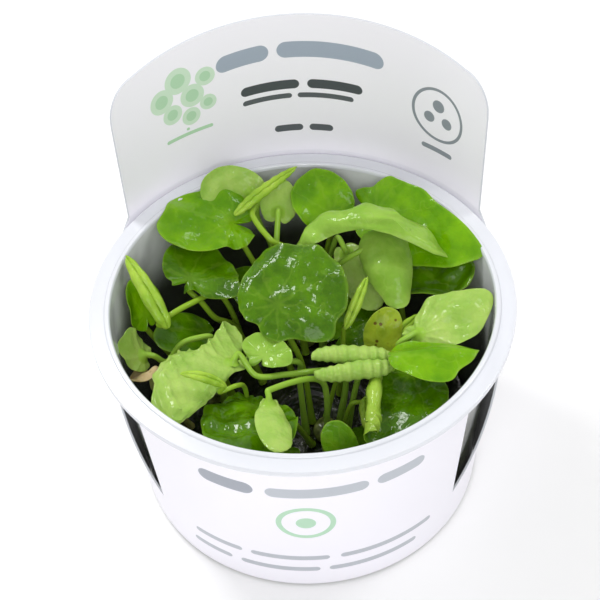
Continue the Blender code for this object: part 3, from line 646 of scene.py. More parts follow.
LEAVES = [
    Leaf("leaf_centre_large", (-6, 1.5, 53), (7, 13.5, 57), (-9, 12, 56.5), 25, (0.9, -2.9), "dark",
         via=[(-1, -2, 36)], arch=18, lobe=0.45, notch=0.2, cup=(-6, 0), curl=(-25, -10),
         pleat=0.1, crumple=0.45, ruffle=0.3,
         swells=[(64, 0.14, 16), (36, -0.05, 10), (-48, 0.06, 12), (-80, 0.25, 14), (130, 0.06, 16),
                 (-114, -0.12, 12)]),
    Leaf("leaf_centre_puckered", (-9, -9.3, 47.3), (-6.5, -5, 48.2), (-13, -4, 47.8), 13, (-0.6, -6.5),
         "pale",
         via=[(-1.5, -5.5, 34), (-1.5, -7, 42)], lobe=0.5, pleat=0.7, crumple=0.5, swells=[(150, 0.5, 16)]),
    Leaf("leaf_back_left", (-18, 28, 54), (-35, 25.5, 57), (-28, 20, 54.5), 20, (-6.1, 25), "fresh",
         via=[(-12, 26, 38)], arch=15, sides=(1.0, 0.8), curl=(-30, 0), crumple=0.45, ruffle=0.8,
         swells=[(75, -0.22, 38), (8, 0.1, 14), (-92, 0.5, 30), (-35, 0.1, 14)]),
    Leaf("leaf_back_wall_left", (-13.5, 37.5, 55), (-23.5, 36, 59.5), (-17, 39, 60), 12, (-4.6, 28.6),
         "pale",
         via=[(-9, 35, 38), (-12, 34.2, 50)], out=(2.4, 1.4),
         swells=[(0, 0.25, 30)], crumple=0.45),
    Leaf("leaf_left_inner", (-28, 14, 49), (-19, 25, 48), (-33, 22, 50), 20, (-12, 10), "dark",
         via=[(-18, 14, 31), (-22.5, 11, 38), (-25.5, 11, 44)], ruffle=0.7, crumple=0.12, pleat=0.04,
         swells=[(0, -0.22, 40), (-76, 0.4, 14), (-128, -0.45, 34), (140, -0.25, 20)]),
    Leaf("young_leaf_left", (-34, 2, 49), (-42.2, 12.5, 58.5), (-39, 0, 52), 5.0, (-15.5, 17), "fresh",
         via=[(-21, 15, 42), (-28, 7.5, 47)], rolled=True, lobe=0.2, arch=8, puckers=4, blunt=0.4),
    Leaf("leaf_left_wall", (-39, 7.5, 43), (-42, 12.5, 51), (-43.5, 4, 48), 12, (-28.6, 9.6), "fresh"),
    Leaf("leaf_left_pleated", (-39, -4, 41.5), (-42.7, -4.5, 49.5), (-40.5, 1.5, 47), 10, (-21.4, 2.4),
         "pale",
         via=[(-22.5, 1, 42), (-26.5, 0, 43), (-30, -1, 42), (-33.5, -3, 38)], pleat=0.7),
    Leaf("leaf_left_withered", (-36.5, -7.5, 38), (-39.5, -15, 44), (-32, -13, 42), 9.5, (-30, -4),
         "withered",
         arch=40, crumple=0.9, ruffle=1.0),
    Leaf("leaf_left_low", (-24.5, 8, 35.5), (-37, 3.5, 38.5), (-30, 0, 36.5), 13, (-19.9, 6), "dark",
         lobe=0.15),
    Leaf("leaf_front_left_large", (-16.5, -11.5, 47), (-29.5, -30, 51), (-32, -8, 50), 26, (8.1, -2.9),
         "pale",
         via=[(9.5, -4.5, 35), (4, -9, 41), (-4.5, -12.5, 44), (-11, -13.5, 45)], arch=-25, lobe=0.4,
         sides=(1.15, 0.3), cup=(0, 30), fold=(0, 30), pleat=1.1, step=3.4, crumple=0.25, ruffle=0.4,
         swells=[(80, -0.42, 34), (38, -0.08, 14), (143, 0.55, 15), (-16, 0.16, 15), (4, 0.04, 12),
                 (-75, -0.5, 25)]),
    Leaf("young_leaf_horn", (-18, -22, 52.5), (-27.5, -21.5, 56), (-22, -25, 54), 3, (-13, -6), "fresh",
         via=[(-13.5, -14, 34), (-13.8, -16, 44), (-15.2, -20.5, 50)], rolled=True, lobe=0.1, arch=40,
         stem=0.6, puckers=5),
    Leaf("leaf_front_glossy", (-12, -20.5, 42), (-12.5, -41.5, 49), (-3, -35, 45.5), 22, (0.9, -10.1),
         "glossy",
         via=[(-5, -14, 30)], arch=20, lobe=0.3, notch=0.3, curl=(0, -40), crumple=0.6, ruffle=0.5,
         swells=[(-165, 0.3, 20)]),
    Leaf("leaf_front_pale", (-7.5, -26, 50.5), (-4.2, -42, 53), (-11, -34, 52.5), 8.4, (4.5, -11.6), "pale",
         via=[(5, -12, 38), (2, -15.5, 46)], arch=-12, lobe=0.1, cup=(20, 30), pleat=0.1, crumple=0.2,
         swells=[(90, -0.2, 40)]),
    Leaf("young_leaf_right", (20, -13.5, 49.3), (2.5, -15.6, 50.8), (11, -20, 50), 9, (9.6, -6.5), "pale",
         via=[(14, -5, 38), (18.5, -8, 45.5)], rolled=True, lobe=0.05, arch=8, blunt=0.3, spread=3.2),
    Leaf("leaf_right_folded", (21.5, -15.5, 54.5), (40, -15.5, 55), (30, -9, 53.5), 17, (18, -3), "fresh",
         via=[(24, -7, 42), (24.5, -12, 49.5)], lobe=0.1, sides=(0.55, 1.0), fold=(-62, -34), cup=(100, 12),
         crumple=0.15, pleat=0.1, ruffle=0.15,
         swells=[(86, 1.1, 24), (8, 0.05, 10), (-18, -0.1, 9), (-75, -0.25, 25)]),
    Leaf("leaf_small_round", (9.5, -29.5, 36), (6, -25, 42), (4, -28, 38), 8, (8, -26), "fresh", stem=0.6,
         crumple=0.08, pleat=0.08, ruffle=0.1),
    Leaf("leaf_front_right_large", (25, -12.5, 43.5), (22.5, -35.2, 44), (40, -20, 46), 25, (25, -5),
         "dark",
         via=[(25, -8, 30)], lobe=0.12, sides=(0.8, 1.3), curl=(0, 165), crumple=0.3, ruffle=0.8,
         swells=[(-105, -0.3, 35), (-45, 0.25, 18)]),
    Leaf("leaf_right_pale", (27, -6, 50), (43, 0.5, 56), (38.5, -10, 52), 17, (27.6, 4.4), "pale",
         via=[(26, -2, 36), (23, -7.5, 46)], lobe=0.2, arch=-20, out=(1.8, 4.6), crumple=0.35, pleat=0.55,
         ribs=15, ruffle=0.5,
         swells=[(-28, -0.2, 15), (-90, -0.5, 38), (62, -0.15, 20), (-2, 0.09, 10), (140, -0.25, 25)]),
    Leaf("leaf_right_crumpled", (25, 20.5, 46), (41, 10.5, 51), (34.5, 22, 49.5), 17, (27.6, 11.6), "dark",
         via=[(24, 18, 34)], crumple=0.7, ruffle=0.6),
    Leaf("leaf_back_right_large", (17.5, 31, 54), (41, 14.3, 56.8), (28, 33, 60), 23, (7, 26.5), "fresh",
         via=[(16, 32, 38)], arch=15, lobe=0.25, sides=(0.85, 0.8), crumple=0.2, pleat=0.05,
         swells=[(92, 0.25, 18), (28, -0.14, 15), (0, 0.08, 6), (150, 0.2, 18), (-50, 0.08, 18)]),
    Leaf("leaf_back_arched", (-1, 22.5, 52.5), (33.4, 13, 57.5), (1.9, 29.2, 45.8), 14, (3.6, 20.4), "pale",
         via=[(2.5, 18.5, 40)], arch=118, lobe=0.12, sides=(0.5, 1.15), cup=(-80, -75),
         crumple=0.5, pleat=0.3, swells=[(-60, 0.25, 40)]),
    Leaf("leaf_back_draped", (19.5, 21, 56), (24, 4.5, 47.5), (30, 17, 53.5), 15, (4.2, 24), "pale",
         via=[(6.5, 19.5, 44), (10, 18.5, 50), (15, 19.5, 53)], arch=40, lobe=0.1, sides=(0.65, 1.0),
         cup=(-45, -50), furl=1.0, crumple=0.25, pleat=0.12,
         swells=[(100, 0.9, 45), (-100, 0.7, 45), (35, -0.12, 20), (-35, -0.12, 20)]),
    Leaf("leaf_back_middle", (7, 32, 53), (-0.5, 41.3, 57.5), (-2, 35, 54.5), 15, (2.6, 28.6), "fresh",
         via=[(5, 31, 38)]),
    Leaf("leaf_back_pale", (-6.5, 32.5, 53), (-6, 40, 57.5), (-3, 37, 55.5), 9.5, (-4.6, 21.4), "pale",
         via=[(-7, 23, 46)]),
    Leaf("young_leaf_back", (-11.5, 32.5, 59), (-1.5, 40, 61.5), (-13, 38, 60), 3.4, (-1, 19.9), "fresh",
         via=[(-4.5, 22.5, 50), (-8, 22, 54), (-12.5, 28, 56.5)], rolled=True, lobe=0.58, arch=10,
         puckers=8),
    Leaf("leaf_centre_pale", (10.5, 24, 46.5), (18, 10, 41), (9, 16.5, 43), 10, (-1, 30.1), "pale",
         via=[(5, 28, 36), (7, 28, 45)], lobe=0.2, arch=-20, out=(1.8, 4.4)),
    Leaf("young_leaf_centre", (10.5, 0.5, 47), (15.5, 9.5, 54), (8, 3, 50), 3, (4.5, -1.4), "fresh",
         via=[(9, 0, 36)], rolled=True, lobe=0.1, arch=10, stem=0.6, puckers=4),
    Leaf("leaf_spotted", (18, -2, 42), (21, 3.5, 49), (15.5, 1.5, 46), 9, (14, 1), "spotted",
         via=[(17, -1, 32)], stem=0.6, crumple=0.15),
    Leaf("young_leaf_right_tip", (22.5, 0, 43), (27.5, 1, 49), (22, 4, 47), 3, (24, 2.9), "fresh",
         rolled=True, lobe=0.1, arch=20, stem=0.6, puckers=3),
    Leaf("young_leaf_front_bud", (14.5, -10.5, 31), (15.5, -18.5, 29), (19, -15, 31), 4, (8.1, -10.1),
         "fresh",
         via=[(11, -9.5, 28.5)], rolled=True, lobe=0.1, arch=10, stem=0.6, puckers=3),
    Leaf("leaf_low_front_left", (-8, -17, 21), (-22, -27, 25), (-8, -28, 23), 16, (-6, -11), "dark",
         via=[(-6.2, -12, 17)]),
    Leaf("leaf_low_front_right", (13, -16, 23), (24, -27, 26), (26, -16, 25), 14, (13, -14), "dark"),
    Leaf("leaf_low_back", (-10, 15, 38), (-19, 24, 41), (-18, 14, 39), 11, (-4, 12), "dark"),
    Leaf("leaf_low_centre", (9, 7, 35), (18, 14, 37), (9, 15, 37), 13, (8, 6), "dark"),
]


# Each finish's name, its greens on the upper face and in that face's patches, on the lower face and in that
# one's patches, and on the stalk, how wet it is, and how spotted
TONES = {
    "dark": ("wet_dark_leaf", "#528000", "#3c6400", "#9cbc44", "#7ca028", "#84a62a", 0.7),
    "glossy": ("dripping_dark_leaf", "#5c8c00", "#406a00", "#9cc048", "#7ca42c", "#84a62a", 1.0),
    "fresh": ("wet_fresh_leaf", "#74a800", "#5a9000", "#a8c848", "#88b02c", "#8cb02e", 0.7),
    "pale": ("pale_leaf_underside", "#92b848", "#80aa38", "#a8c462", "#90b64c", "#90b83e", 0.6),
    "spotted": ("spotted_leaf", "#a0b42c", "#7c9420", "#b0c958", "#90b044", "#9cc444", 0.35, 0.9),
    "withered": ("withered_leaf", "#d2bd92", "#a58a5c", "#d8c69c", "#ab9064", "#b4b468", 0.1, 0.3),
}


def leaves():
    """Every leaf, each on its own fine grid, in the place of its plain one."""
    tones = {tone: leaf_finish(*look) for tone, look in TONES.items()}
    for number, leaf in enumerate(LEAVES):
        luck = np.random.default_rng(40 + number)
        points, faces, uv, marks = (rolled_leaf if leaf.rolled else open_leaf)(leaf, luck)
        made = piece(leaf.name + "_fine", points, faces, [tones[leaf.tone]], uv, marks)
        seated(made, leaf.name, leaf.name)


def seated(made, node_name, slot):
    """The fine piece takes its plain node's place and rides on the part."""
    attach(made, "root")
    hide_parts(node_name)


# The cup, its medium and the crowns

def turned(name, profile, finishes, sides, span_finish=None):
    """A solid turned round Z from a profile of radius and height that starts and ends on the axis, with the
    number of a finish for each span of the profile.
    """
    angle = np.arange(sides) * 360.0 / sides
    rings = [polar(np.array([0.0]), 0.0, profile[0][1])]
    rings += [polar(radius, angle, height) for radius, height in profile[1:-1]]
    rings.append(polar(np.array([0.0]), 0.0, profile[-1][1]))
    faces = skin_faces([len(ring) for ring in rings])
    face_finish = None if span_finish is None else np.repeat(span_finish, sides)
    return piece(name, np.vstack(rings), faces, finishes, face_finish=face_finish, sharp=40.0)


def cup():
    """The open cup: thin clear wall, milky flange in two levels, and small rounded edges."""
    # Clear plastic whose colour is painted dark low down as painted shade and milky pale higher up as
    # painted light, in uneven patches between
    wall, tree, shader = material("clear_plastic_wall", Roughness=0.16, IOR=1.46, Coat_Weight=0.3,
                                  Coat_Roughness=0.08)
    place = add(tree, PLACE, out="Object")
    height = add(tree, SPLIT, place, out="Z")
    level = add(tree, SMOOTH, height, WALL_SHADE_BELOW * MM, WALL_LIGHT_ABOVE * MM, 0.0, 1.0)
    shade_patches = add(tree, NOISE, place, Scale=per_metre(16.667), Detail=3.0)
    uneven = add(tree, SMOOTH, shade_patches, 0.25, 0.6, 0.55, 1.0)
    level = add(tree, PRODUCT, level, uneven)
    hue = add(tree, MIXED, level, linear("#2b3318"), linear("#f4f7f6"))
    solid = add(tree, SMOOTH, level, 0.0, 1.0, 0.6, 0.72)
    fill(shader, Base_Color=hue, Alpha=solid)
    # The flange is thicker and milky, so light spreads in it, and its smooth face shines
    flange = material("milky_plastic_flange", Roughness=0.2, IOR=1.46, Alpha=0.9,
                      Base_Color=linear("#e4e6ec"), Coat_Weight=0.5, Coat_Roughness=0.06,
                      Subsurface_Weight=0.3, Subsurface_Radius=(1.0, 1.0, 1.0), Subsurface_Scale=MM)[0]
    lip = CUP_HEIGHT
    flat = CUP_HEIGHT - FLANGE_STEP
    skirt = flat - FLANGE_SKIRT
    inner = CUP_INNER_LIP_RADIUS
    profile = [
        (0.0, CUP_FLOOR),
        (wall_radius(CUP_FLOOR) - CUP_WALL - 1.5, CUP_FLOOR),
        (wall_radius(CUP_FLOOR + 0.5) - CUP_WALL - 0.5, CUP_FLOOR + 0.4),
        (wall_radius(CUP_FLOOR + 1.5) - CUP_WALL, CUP_FLOOR + 1.5),
        (wall_radius(28.0) - CUP_WALL, 28.0),
        (wall_radius(lip - 3.0) - CUP_WALL, lip - 3.0),
        (inner, lip - 0.8),
        (inner + 0.1, lip - 0.25),
        (inner + 0.35, lip),
        (inner + 1.0, lip),
        (inner + 1.3, lip - 0.15),
        (inner + 1.45, flat + 0.05),
        (inner + 1.7, flat),
        (FLANGE_RADIUS - 0.6, flat),
        (FLANGE_RADIUS - 0.15, flat - 0.12),
        (FLANGE_RADIUS, flat - 0.45),
        (FLANGE_RADIUS, skirt + 0.1),
        (FLANGE_RADIUS - 0.2, skirt),
        (FLANGE_RADIUS - 0.8, skirt),
        (FLANGE_RADIUS - 0.8, CUP_NECK_HEIGHT),
        (CUP_NECK_RADIUS, CUP_NECK_HEIGHT),
        (wall_radius(28.0), 28.0),
        (CUP_BASE_RADIUS, 1.0),
        (CUP_BASE_RADIUS - 0.4, 0.3),
        (CUP_BASE_RADIUS - 1.2, 0.0),
        (0.0, 0.0),
    ]
    finish = np.zeros(len(profile) - 1, int)
    finish[6:19] = 1
    made = turned("cup_fine", profile, [wall, flange], 192, finish)
    seated(made, "cup", "cup")


def growing_medium():
    """Wet gel painted near-black as painted shade deep in the cup, a little uneven, with fine bubbles and
    specks.
    """
    # Wet crumbs of 3 mm that shine, painted near-black as painted shade, with pale bubbles 2 mm apart, one
    # in five of them kept
    wet, tree, shader = material("gel_painted_dark_shade", Roughness=0.16, IOR=1.36, Coat_Weight=0.6,
                                 Coat_Roughness=0.04)
    place = add(tree, PLACE, out="Object")
    crumbs = add(tree, NOISE, place, Scale=per_metre(3.125), Detail=4.0, Roughness=0.6)
    speck = add(tree, GRAINS, place, Scale=per_metre(1.923))
    chance = add(tree, GRAINS, place, Scale=per_metre(1.923), out="Color")
    white = add(tree, SMOOTH, speck, 0.10, 0.16, 0.6, 0.0)
    kept = add(tree, OVER, add(tree, SPLIT_COLOUR, chance, out="Green"), 0.8)
    crest = add(tree, SMOOTH, crumbs, 0.4, 0.62, 0.0, 1.0)
    ground = add(tree, MIXED, crest, linear("#0d0e0a"), linear("#2a2a18"))
    white = add(tree, PRODUCT, white, kept)
    ground = add(tree, MIXED, white, ground, linear("#b9bca8"))
    bump = add(tree, BUMP, Strength=0.8, Distance=0.8 * MM, Height=crumbs)
    fill(shader, Base_Color=ground, Normal=bump)
    low = CUP_FLOOR + GAP
    outside = wall_radius(MEDIUM_TOP) - CUP_WALL - GAP
    step = np.linspace(0.0, outside - 1.0, 60)[1:]
    profile = [(0.0, MEDIUM_TOP - 0.1)]
    profile += [(radius, MEDIUM_TOP - 0.15 + 0.12 * math.sin(0.9 * radius)) for radius in step.tolist()]
    profile += [(outside - 0.2, MEDIUM_TOP - 1.0), (wall_radius(low + 2.0) - CUP_WALL - GAP, low + 2.0),
                (wall_radius(low) - CUP_WALL - GAP - 2.0, low), (0.0, low)]
    made = turned("growing_medium_fine", profile, [wet], 160)
    seated(made, "growing_medium", "growing_medium")


CROWNS = {
    "crown_front": (4.5, -6.5),
    "crown_left": (-25.0, 6.0),
    "crown_back": (-1.0, 25.0),
    "crown_right": (24.0, 8.0),
}


def crowns():
    """Short knobbly crowns: a dome whose radius swells in waves round it and with height."""
    # Rough, fibrous tissue, dark and light olive in patches of 2.4 mm, a little wet
    bark, tree, shader = material("crown_tissue", Roughness=0.4, Coat_Weight=0.4, Coat_Roughness=0.1)
    place = add(tree, PLACE, out="Object")
    fibres = add(tree, NOISE, place, Scale=per_metre(2.381), Detail=4.0)
    patch = add(tree, SMOOTH, fibres, 0.35, 0.65, 0.0, 1.0)
    hue = add(tree, MIXED, patch, linear("#3f4716"), linear("#87904a"))
    bump = add(tree, BUMP, Strength=0.7, Distance=0.5 * MM, Height=fibres)
    fill(shader, Base_Color=hue, Normal=bump)
    rows, sides = 26, 64
    for number, (name, spot) in enumerate(CROWNS.items()):
        height = np.linspace(1.0, 0.0, rows)[:, None]
        turn = 2.0 * math.pi * np.arange(sides)[None, :] / sides
        swell = np.sqrt(np.clip(1.0 - (1.15 * height - 0.25) ** 2, 0.0, 1.0))
        waves = 1.0 + 0.10 * np.sin(3.0 * turn + 5.0 * height)
        waves = waves + 0.05 * np.sin(8 * turn + 9 * height + number)
        radius = CROWN_RADIUS * np.clip(swell, 0.05, 1.0) * waves * 0.98
        rings = np.stack([spot[0] + radius * np.cos(turn), spot[1] + radius * np.sin(turn),
                          FOOT_HEIGHT + CROWN_HEIGHT * height + 0.0 * turn], axis=-1)
        top = np.array([[*spot, FOOT_HEIGHT + CROWN_HEIGHT * 1.03]])
        foot = np.array([[*spot, FOOT_HEIGHT]])
        points = np.vstack([top, *rings, foot])
        made = piece(name + "_fine", points, skin_faces([1, *[sides] * rows, 1]), [bark])
        seated(made, name, name)


# The card sleeve

def header_top(arc):
    """The header's upper edge over the arc length from its middle: a wide arch with round corners."""
    half = math.radians(HEADER_SHOULDER_ANGLE) * HEADER_ARC_RADIUS
    bend = half - HEADER_CORNER
    arch = HEADER_TOP - np.minimum(np.abs(arc), bend) ** 2 / (2.0 * HEADER_ARCH_RADIUS)
    past = np.clip(np.abs(arc) - bend, 0.0, HEADER_CORNER)
    return arch - HEADER_CORNER + np.sqrt(HEADER_CORNER ** 2 - past ** 2)


def sleeve_sheet():
    """The card's inner face as two grids of points, back and front, with arc lengths and heights.

    The back grid runs from the slits' ends up to the rim and then up the leaning header. The front grid
    is the apron. Both stand on a band that runs all the way round, which the back grid's columns and
    the front grid's columns share.
    """
    columns, front_columns, rows, header_rows = 181, 121, 25, 31
    even = np.linspace(-1.0, 1.0, columns)
    start = wall_radius(SLIT_FOOT) + CARD_GAP
    low = np.linspace(0.0, 1.0, rows)[:, None]
    half = (180.0 - SLIT_HALF_ANGLE) * (1.0 - low) + HEADER_HALF_ANGLE * low
    angle_low = even[None, :] * half
    height_low = SLIT_FOOT + (CUP_HEIGHT - SLIT_FOOT) * low + 0.0 * angle_low
    radius_low = start + (HEADER_INNER_RADIUS - start) * low + 0.0 * angle_low
    edge = even + 0.35 * (np.sin(even * math.pi / 2.0) - even)
    shift = low * (edge - even)[None, :]
    angle_low = (even[None, :] + shift) * half
    top = header_top(edge * math.radians(HEADER_SHOULDER_ANGLE) * HEADER_ARC_RADIUS)
    high = np.linspace(0.0, 1.0, header_rows)[1:, None]
    height_high = CUP_HEIGHT + (top - CUP_HEIGHT) * high
    angle_high = edge * (HEADER_HALF_ANGLE + (HEADER_SHOULDER_ANGLE - HEADER_HALF_ANGLE) * high)
    radius_high = HEADER_INNER_RADIUS + HEADER_LEAN * (height_high - CUP_HEIGHT)
    back = (np.vstack([radius_low, radius_high]), np.vstack([angle_low, angle_high]),
            np.vstack([height_low, height_high]))
    front_half = SLIT_HALF_ANGLE + (APRON_HALF_ANGLE - SLIT_HALF_ANGLE) * low
    front_angle = 180.0 + front_half * np.linspace(-1.0, 1.0, front_columns)[None, :]
    front_height = SLIT_FOOT + (APRON_TOP - SLIT_FOOT) * low + 0.0 * front_angle
    front = (wall_radius(front_height) + CARD_GAP, front_angle, front_height)
    return back, front


def card_sleeve():
    """One sheet of card: a band all round, the apron and the header, with a thickness and cut edges."""
    back, front = sleeve_sheet()
    rows, columns = back[1].shape
    front_rows, front_columns = front[1].shape
    seam_angle = np.concatenate([back[1][0], front[1][0][1:-1]])
    around = len(seam_angle)
    band_rows = 7
    band_share = np.linspace(0.0, 1.0, band_rows)[:, None]
    band_height = CARD_FOOT + (SLIT_FOOT - CARD_FOOT) * band_share + 0.0 * seam_angle
    band = (wall_radius(band_height) + CARD_GAP, seam_angle + 0.0 * band_height, band_height)
    band_ids = np.arange(band_rows * around).reshape(band_rows, around)
    back_ids = band_rows * around + np.arange((rows - 1) * columns).reshape(rows - 1, columns)
    back_ids = np.vstack([band_ids[-1][:columns], back_ids])
    front_ids = np.arange((front_rows - 1) * front_columns).reshape(front_rows - 1, front_columns)
    front_ids += back_ids.max() + 1
    seam_front = np.concatenate([band_ids[-1][columns - 1:], band_ids[-1][:1]])
    front_ids = np.vstack([seam_front, front_ids])

    def cells(ids, closed=False):
        if closed:
            ids = np.hstack([ids, ids[:, :1]])
        return np.stack([ids[:-1, :-1], ids[:-1, 1:], ids[1:, 1:], ids[1:, :-1]], axis=-1).reshape(-1, 4)

    quads = np.vstack([cells(band_ids, True), cells(back_ids), cells(front_ids)])
    radius, angle, height = (np.concatenate([band[k].ravel(), back[k][1:].ravel(), front[k][1:].ravel()])
                             for k in range(3))
    inner = polar(radius, angle, height)
    outer = polar(radius + CARD, angle, height)
    count = len(inner)
    edges = np.vstack([quads[:, [a, (a + 1) % 4]] for a in range(4)])
    keys = {(int(a), int(b)) for a, b in edges}
    rims = [(a, b) for a, b in keys if (b, a) not in keys]
    faces = quads[:, ::-1].tolist() + (quads + count).tolist()
    faces += [[a, b, b + count, a + count] for a, b in rims]
    face_finish = np.zeros(len(faces), int)
    face_finish[2 * len(quads):] = 1
    signed = np.where(angle > 180.0, angle - 360.0, angle)
    from_front = np.where(angle > 90.0, angle - 180.0, np.where(angle < -90.0, angle + 180.0, angle))
    facing_front = np.abs(angle) > 90.0
    arc = np.radians(np.where(facing_front, from_front, signed)) * radius
    arc = np.where(facing_front, arc, -arc)
    uv = np.tile(np.stack([arc, height], axis=-1), (2, 1))
    marks = {"outside": np.concatenate([np.zeros(count), np.ones(count)]),
             "front": np.tile(facing_front.astype(float), 2)}
    card = card_finish()
    # The card's grey core shows as a thin matt line at its edges
    cut = material("card_cut_edge", Base_Color=linear("#c9ccd2"), Roughness=0.7)[0]
    made = piece("card_sleeve_fine", np.vstack([inner, outer]), faces, [card, cut], uv, marks, face_finish)
    seated(made, "card_sleeve", "card_sleeve")


def card_finish():
    """Smooth white printed card, which looks flat white with a soft sheen. The marks are plain rounded bars,
    discs and rings in greys and pale greens, on the header's near face and on the apron's outer face.
    """
    made, tree, shader = material("coated_white_card", Roughness=0.38, IOR=1.5, Coat_Weight=0.12,
                                  Coat_Roughness=0.2)
    flat = add(tree, FLAT)
    across = add(tree, SPLIT, flat)
    height = add(tree, SPLIT, flat, out="Y")
    outside = add(tree, ("Attribute", {"attribute_name": "outside"}), out="Fac")
    front = add(tree, ("Attribute", {"attribute_name": "front"}), out="Fac")
    on_apron = add(tree, PRODUCT, outside, front)
    above = add(tree, OVER, height, CUP_HEIGHT)
    on_header = add(tree, PRODUCT, add(tree, DIFFERENCE, 1.0, outside), above)

    def bar(centre, level, half_width, half_height, bow=0.0):
        """A rounded bar round a centre; bow drops its ends by that share of the squared distance."""
        dx = add(tree, SIZE, add(tree, DIFFERENCE, across, centre))
        straight = height
        if bow:
            dip = add(tree, PRODUCT, add(tree, PRODUCT, across, across), bow)
            straight = add(tree, SUM, height, dip)
        dy = add(tree, DIFFERENCE, straight, level)
        past = add(tree, DIFFERENCE, dx, half_width - half_height)
        past = add(tree, HIGHER, past, 0.0)
        square = add(tree, SUM, add(tree, PRODUCT, past, past), add(tree, PRODUCT, dy, dy))
        gone = add(tree, ROOT, square)
        return add(tree, SMOOTH, gone, half_height - SOFT, half_height + SOFT, 1.0, 0.0)

    def gap_to(centre, level):
        return add(tree, DISTANCE, flat, (centre, level, 0.0))

    def disc(centre, level, radius):
        return add(tree, SMOOTH, gap_to(centre, level), radius - DISC_SOFT, radius + DISC_SOFT, 1.0, 0.0)

    def ring(centre, level, radius, line):
        off = add(tree, SIZE, add(tree, DIFFERENCE, gap_to(centre, level), radius))
        return add(tree, SMOOTH, off, line / 2 - SOFT, line / 2 + SOFT, 1.0, 0.0)

    colour = add(tree, MIXED, on_header, linear("#f5f3fb"), linear("#faf7ff"))

    def printed(where, hue, *masks):
        """Lays one ink over the colour so far wherever any of the masks is."""
        nonlocal colour
        whole = masks[0]
        for mask in masks[1:]:
            whole = add(tree, HIGHER, whole, mask)
        ink = add(tree, PRODUCT, whole, where)
        colour = add(tree, MIXED, ink, colour, linear(hue))

    def lines(where, bow, rows):
        """Prints lines of bars, each with its colour, level, half thickness, and its bars' centres and
        half widths.
        """
        for hue, level, thick, *words in rows:
            printed(where, hue, *[bar(centre, level, wide, thick, bow) for centre, wide in words])

    lines(on_header, HEADER_BOW, [
        ("#a3adbd", 88.2, 2.3, (-14.2, 6.6), (7.6, 13.2)),
        ("#4c5056", 78.0, 1.35, (-7.8, 7.3), (8.4, 6.9)),
        ("#5c6066", 74.6, 0.75, (-8.6, 6.2), (6.0, 7.0)),
        ("#5c6066", 64.7, 1.0, (-3.6, 3.6), (4.6, 3.0)),
    ])
    spray = [(-36.0, 82.6, 3.3), (-31.0, 86.4, 3.6), (-27.6, 80.8, 3.2), (-23.8, 85.0, 2.6),
             (-33.4, 77.6, 2.7), (-28.4, 75.0, 2.5), (-23.6, 77.4, 2.2)]
    printed(on_header, "#cfe6cf", *[disc(*leaf) for leaf in spray])
    printed(on_header, "#b4d8b6", *[disc(x, y, r * 0.55) for x, y, r in spray],
            bar(-29.6, 71.6, 0.45, 0.4), bar(-29.4, 70.2, 6.5, 0.5))
    printed(on_header, "#8f959e", ring(36.0, 77.0, 7.2, 0.8), disc(33.4, 75.6, 1.5), disc(38.6, 75.6, 1.5),
            disc(36.0, 79.6, 1.7), bar(36.0, 66.6, 4.6, 0.7))
    lines(on_apron, APRON_BOW, [
        ("#9ba0ab", 43.2, 2.3, (-17.5, 6.6)),
        ("#b9bec6", 43.2, 1.9, (3.4, 11.6), (23.0, 6.0)),
    ])
    printed(on_apron, "#b2d8bb", ring(0.4, 30.2, 6.2, 1.3), disc(0.4, 30.2, 2.3))
    lines(on_apron, 0.0, [
        ("#b4b8c0", 13.6, 0.95, (-22.0, 6.4), (-4.0, 9.4), (20.0, 12.0)),
        ("#b4b8c0", 8.2, 0.95, (-24.0, 5.4), (-6.6, 9.6), (16.4, 11.2)),
    ])
    # The card's grain, drawn 0.7 mm wide, which is coarser than real so that it breaks up the sheen
    place = add(tree, PLACE, out="Object")
    grain = add(tree, NOISE, place, Scale=per_metre(0.6667), Detail=2.0)
    bump = add(tree, BUMP, Strength=0.12, Distance=0.05 * MM, Height=grain)
    fill(shader, Base_Color=colour, Normal=bump)
    return made


# The stage

def placed(made, right, up, back, spot):
    """Puts a lamp or the camera into the scene, at a spot in metres and with its three axes."""
    axes = [[right[k], up[k], back[k], spot[k]] for k in range(3)]
    made.matrix_world = Matrix([*axes, [0, 0, 0, 1]])
    bpy.context.scene.collection.objects.link(made)


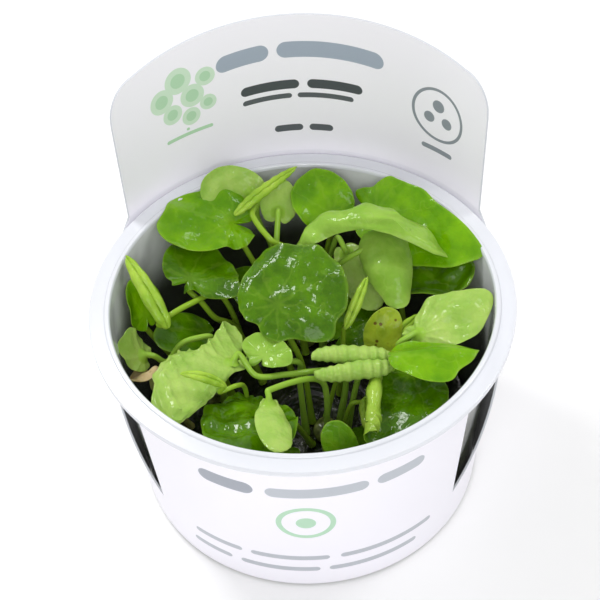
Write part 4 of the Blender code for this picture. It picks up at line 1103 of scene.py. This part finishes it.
def stage():
    """A plain pale floor, soft even light from all round and three large soft lights above."""
    mesh = bpy.data.meshes.new("floor")
    corners = [(x * FLOOR_HALF, y * FLOOR_HALF, 0.0) for x, y in ((-1, -1), (1, -1), (1, 1), (-1, 1))]
    mesh.from_pydata(corners, [], [(0, 1, 2, 3)])
    # Matt pale paper: an even ground without reflections
    mesh.materials.append(material("pale_floor", Base_Color=linear("#f7f7f7"), Roughness=0.9)[0])
    floor = bpy.data.objects.new("floor", mesh)
    bpy.context.scene.collection.objects.link(floor)
    world = bpy.data.worlds.new("soft_room")
    world.use_nodes = True
    fill(world.node_tree.nodes["Background"], (1.0, 1.0, 1.0, 1.0), ROOM_LIGHT)
    bpy.context.scene.world = world
    for name, spot, size, power in LAMPS:
        lamp = bpy.data.lights.new(name, "AREA")
        lamp.energy = power
        lamp.size = size
        made = bpy.data.objects.new(name, lamp)
        away = unit(np.array(spot) - LAMP_AIM)
        side = unit(np.cross((0.0, 0.0, 1.0), away))
        placed(made, side, np.cross(away, side), away, spot)


def camera():
    """A camera that looks down on the rim's middle from the front, rolled a little, as in the photo."""
    rise, roll, turn = (math.radians(value) for value in (CAMERA_ELEVATION, CAMERA_ROLL, CAMERA_TURN))
    back = np.array([0.0, -math.cos(rise), math.sin(rise)])
    right = np.array([1.0, 0.0, 0.0])
    up = np.cross(back, right)
    right, up = math.cos(roll) * right + math.sin(roll) * up, math.cos(roll) * up - math.sin(roll) * right
    eye = up * CAMERA_AIM_UP + back * CAMERA_DISTANCE
    spin = np.array([[math.cos(turn), -math.sin(turn), 0], [math.sin(turn), math.cos(turn), 0], [0, 0, 1]])
    right, up, back = spin @ right, spin @ up, spin @ back
    eye = (spin @ eye + (0.0, 0.0, CUP_HEIGHT)) * MM
    lens = bpy.data.cameras.new("camera")
    lens.sensor_width = SENSOR
    lens.lens = CAMERA_FOCAL_PIXELS / FRAME_PIXELS * SENSOR
    lens.shift_x = -CAMERA_SHIFT_PIXELS / FRAME_PIXELS
    lens.clip_start = 0.01
    made = bpy.data.objects.new("camera", lens)
    placed(made, right, up, back, eye)
    bpy.context.scene.camera = made


def main():
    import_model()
    cup()
    growing_medium()
    crowns()
    card_sleeve()
    leaves()
    stage()
    camera()
    bpy.context.scene.view_settings.view_transform = "Standard"


main()
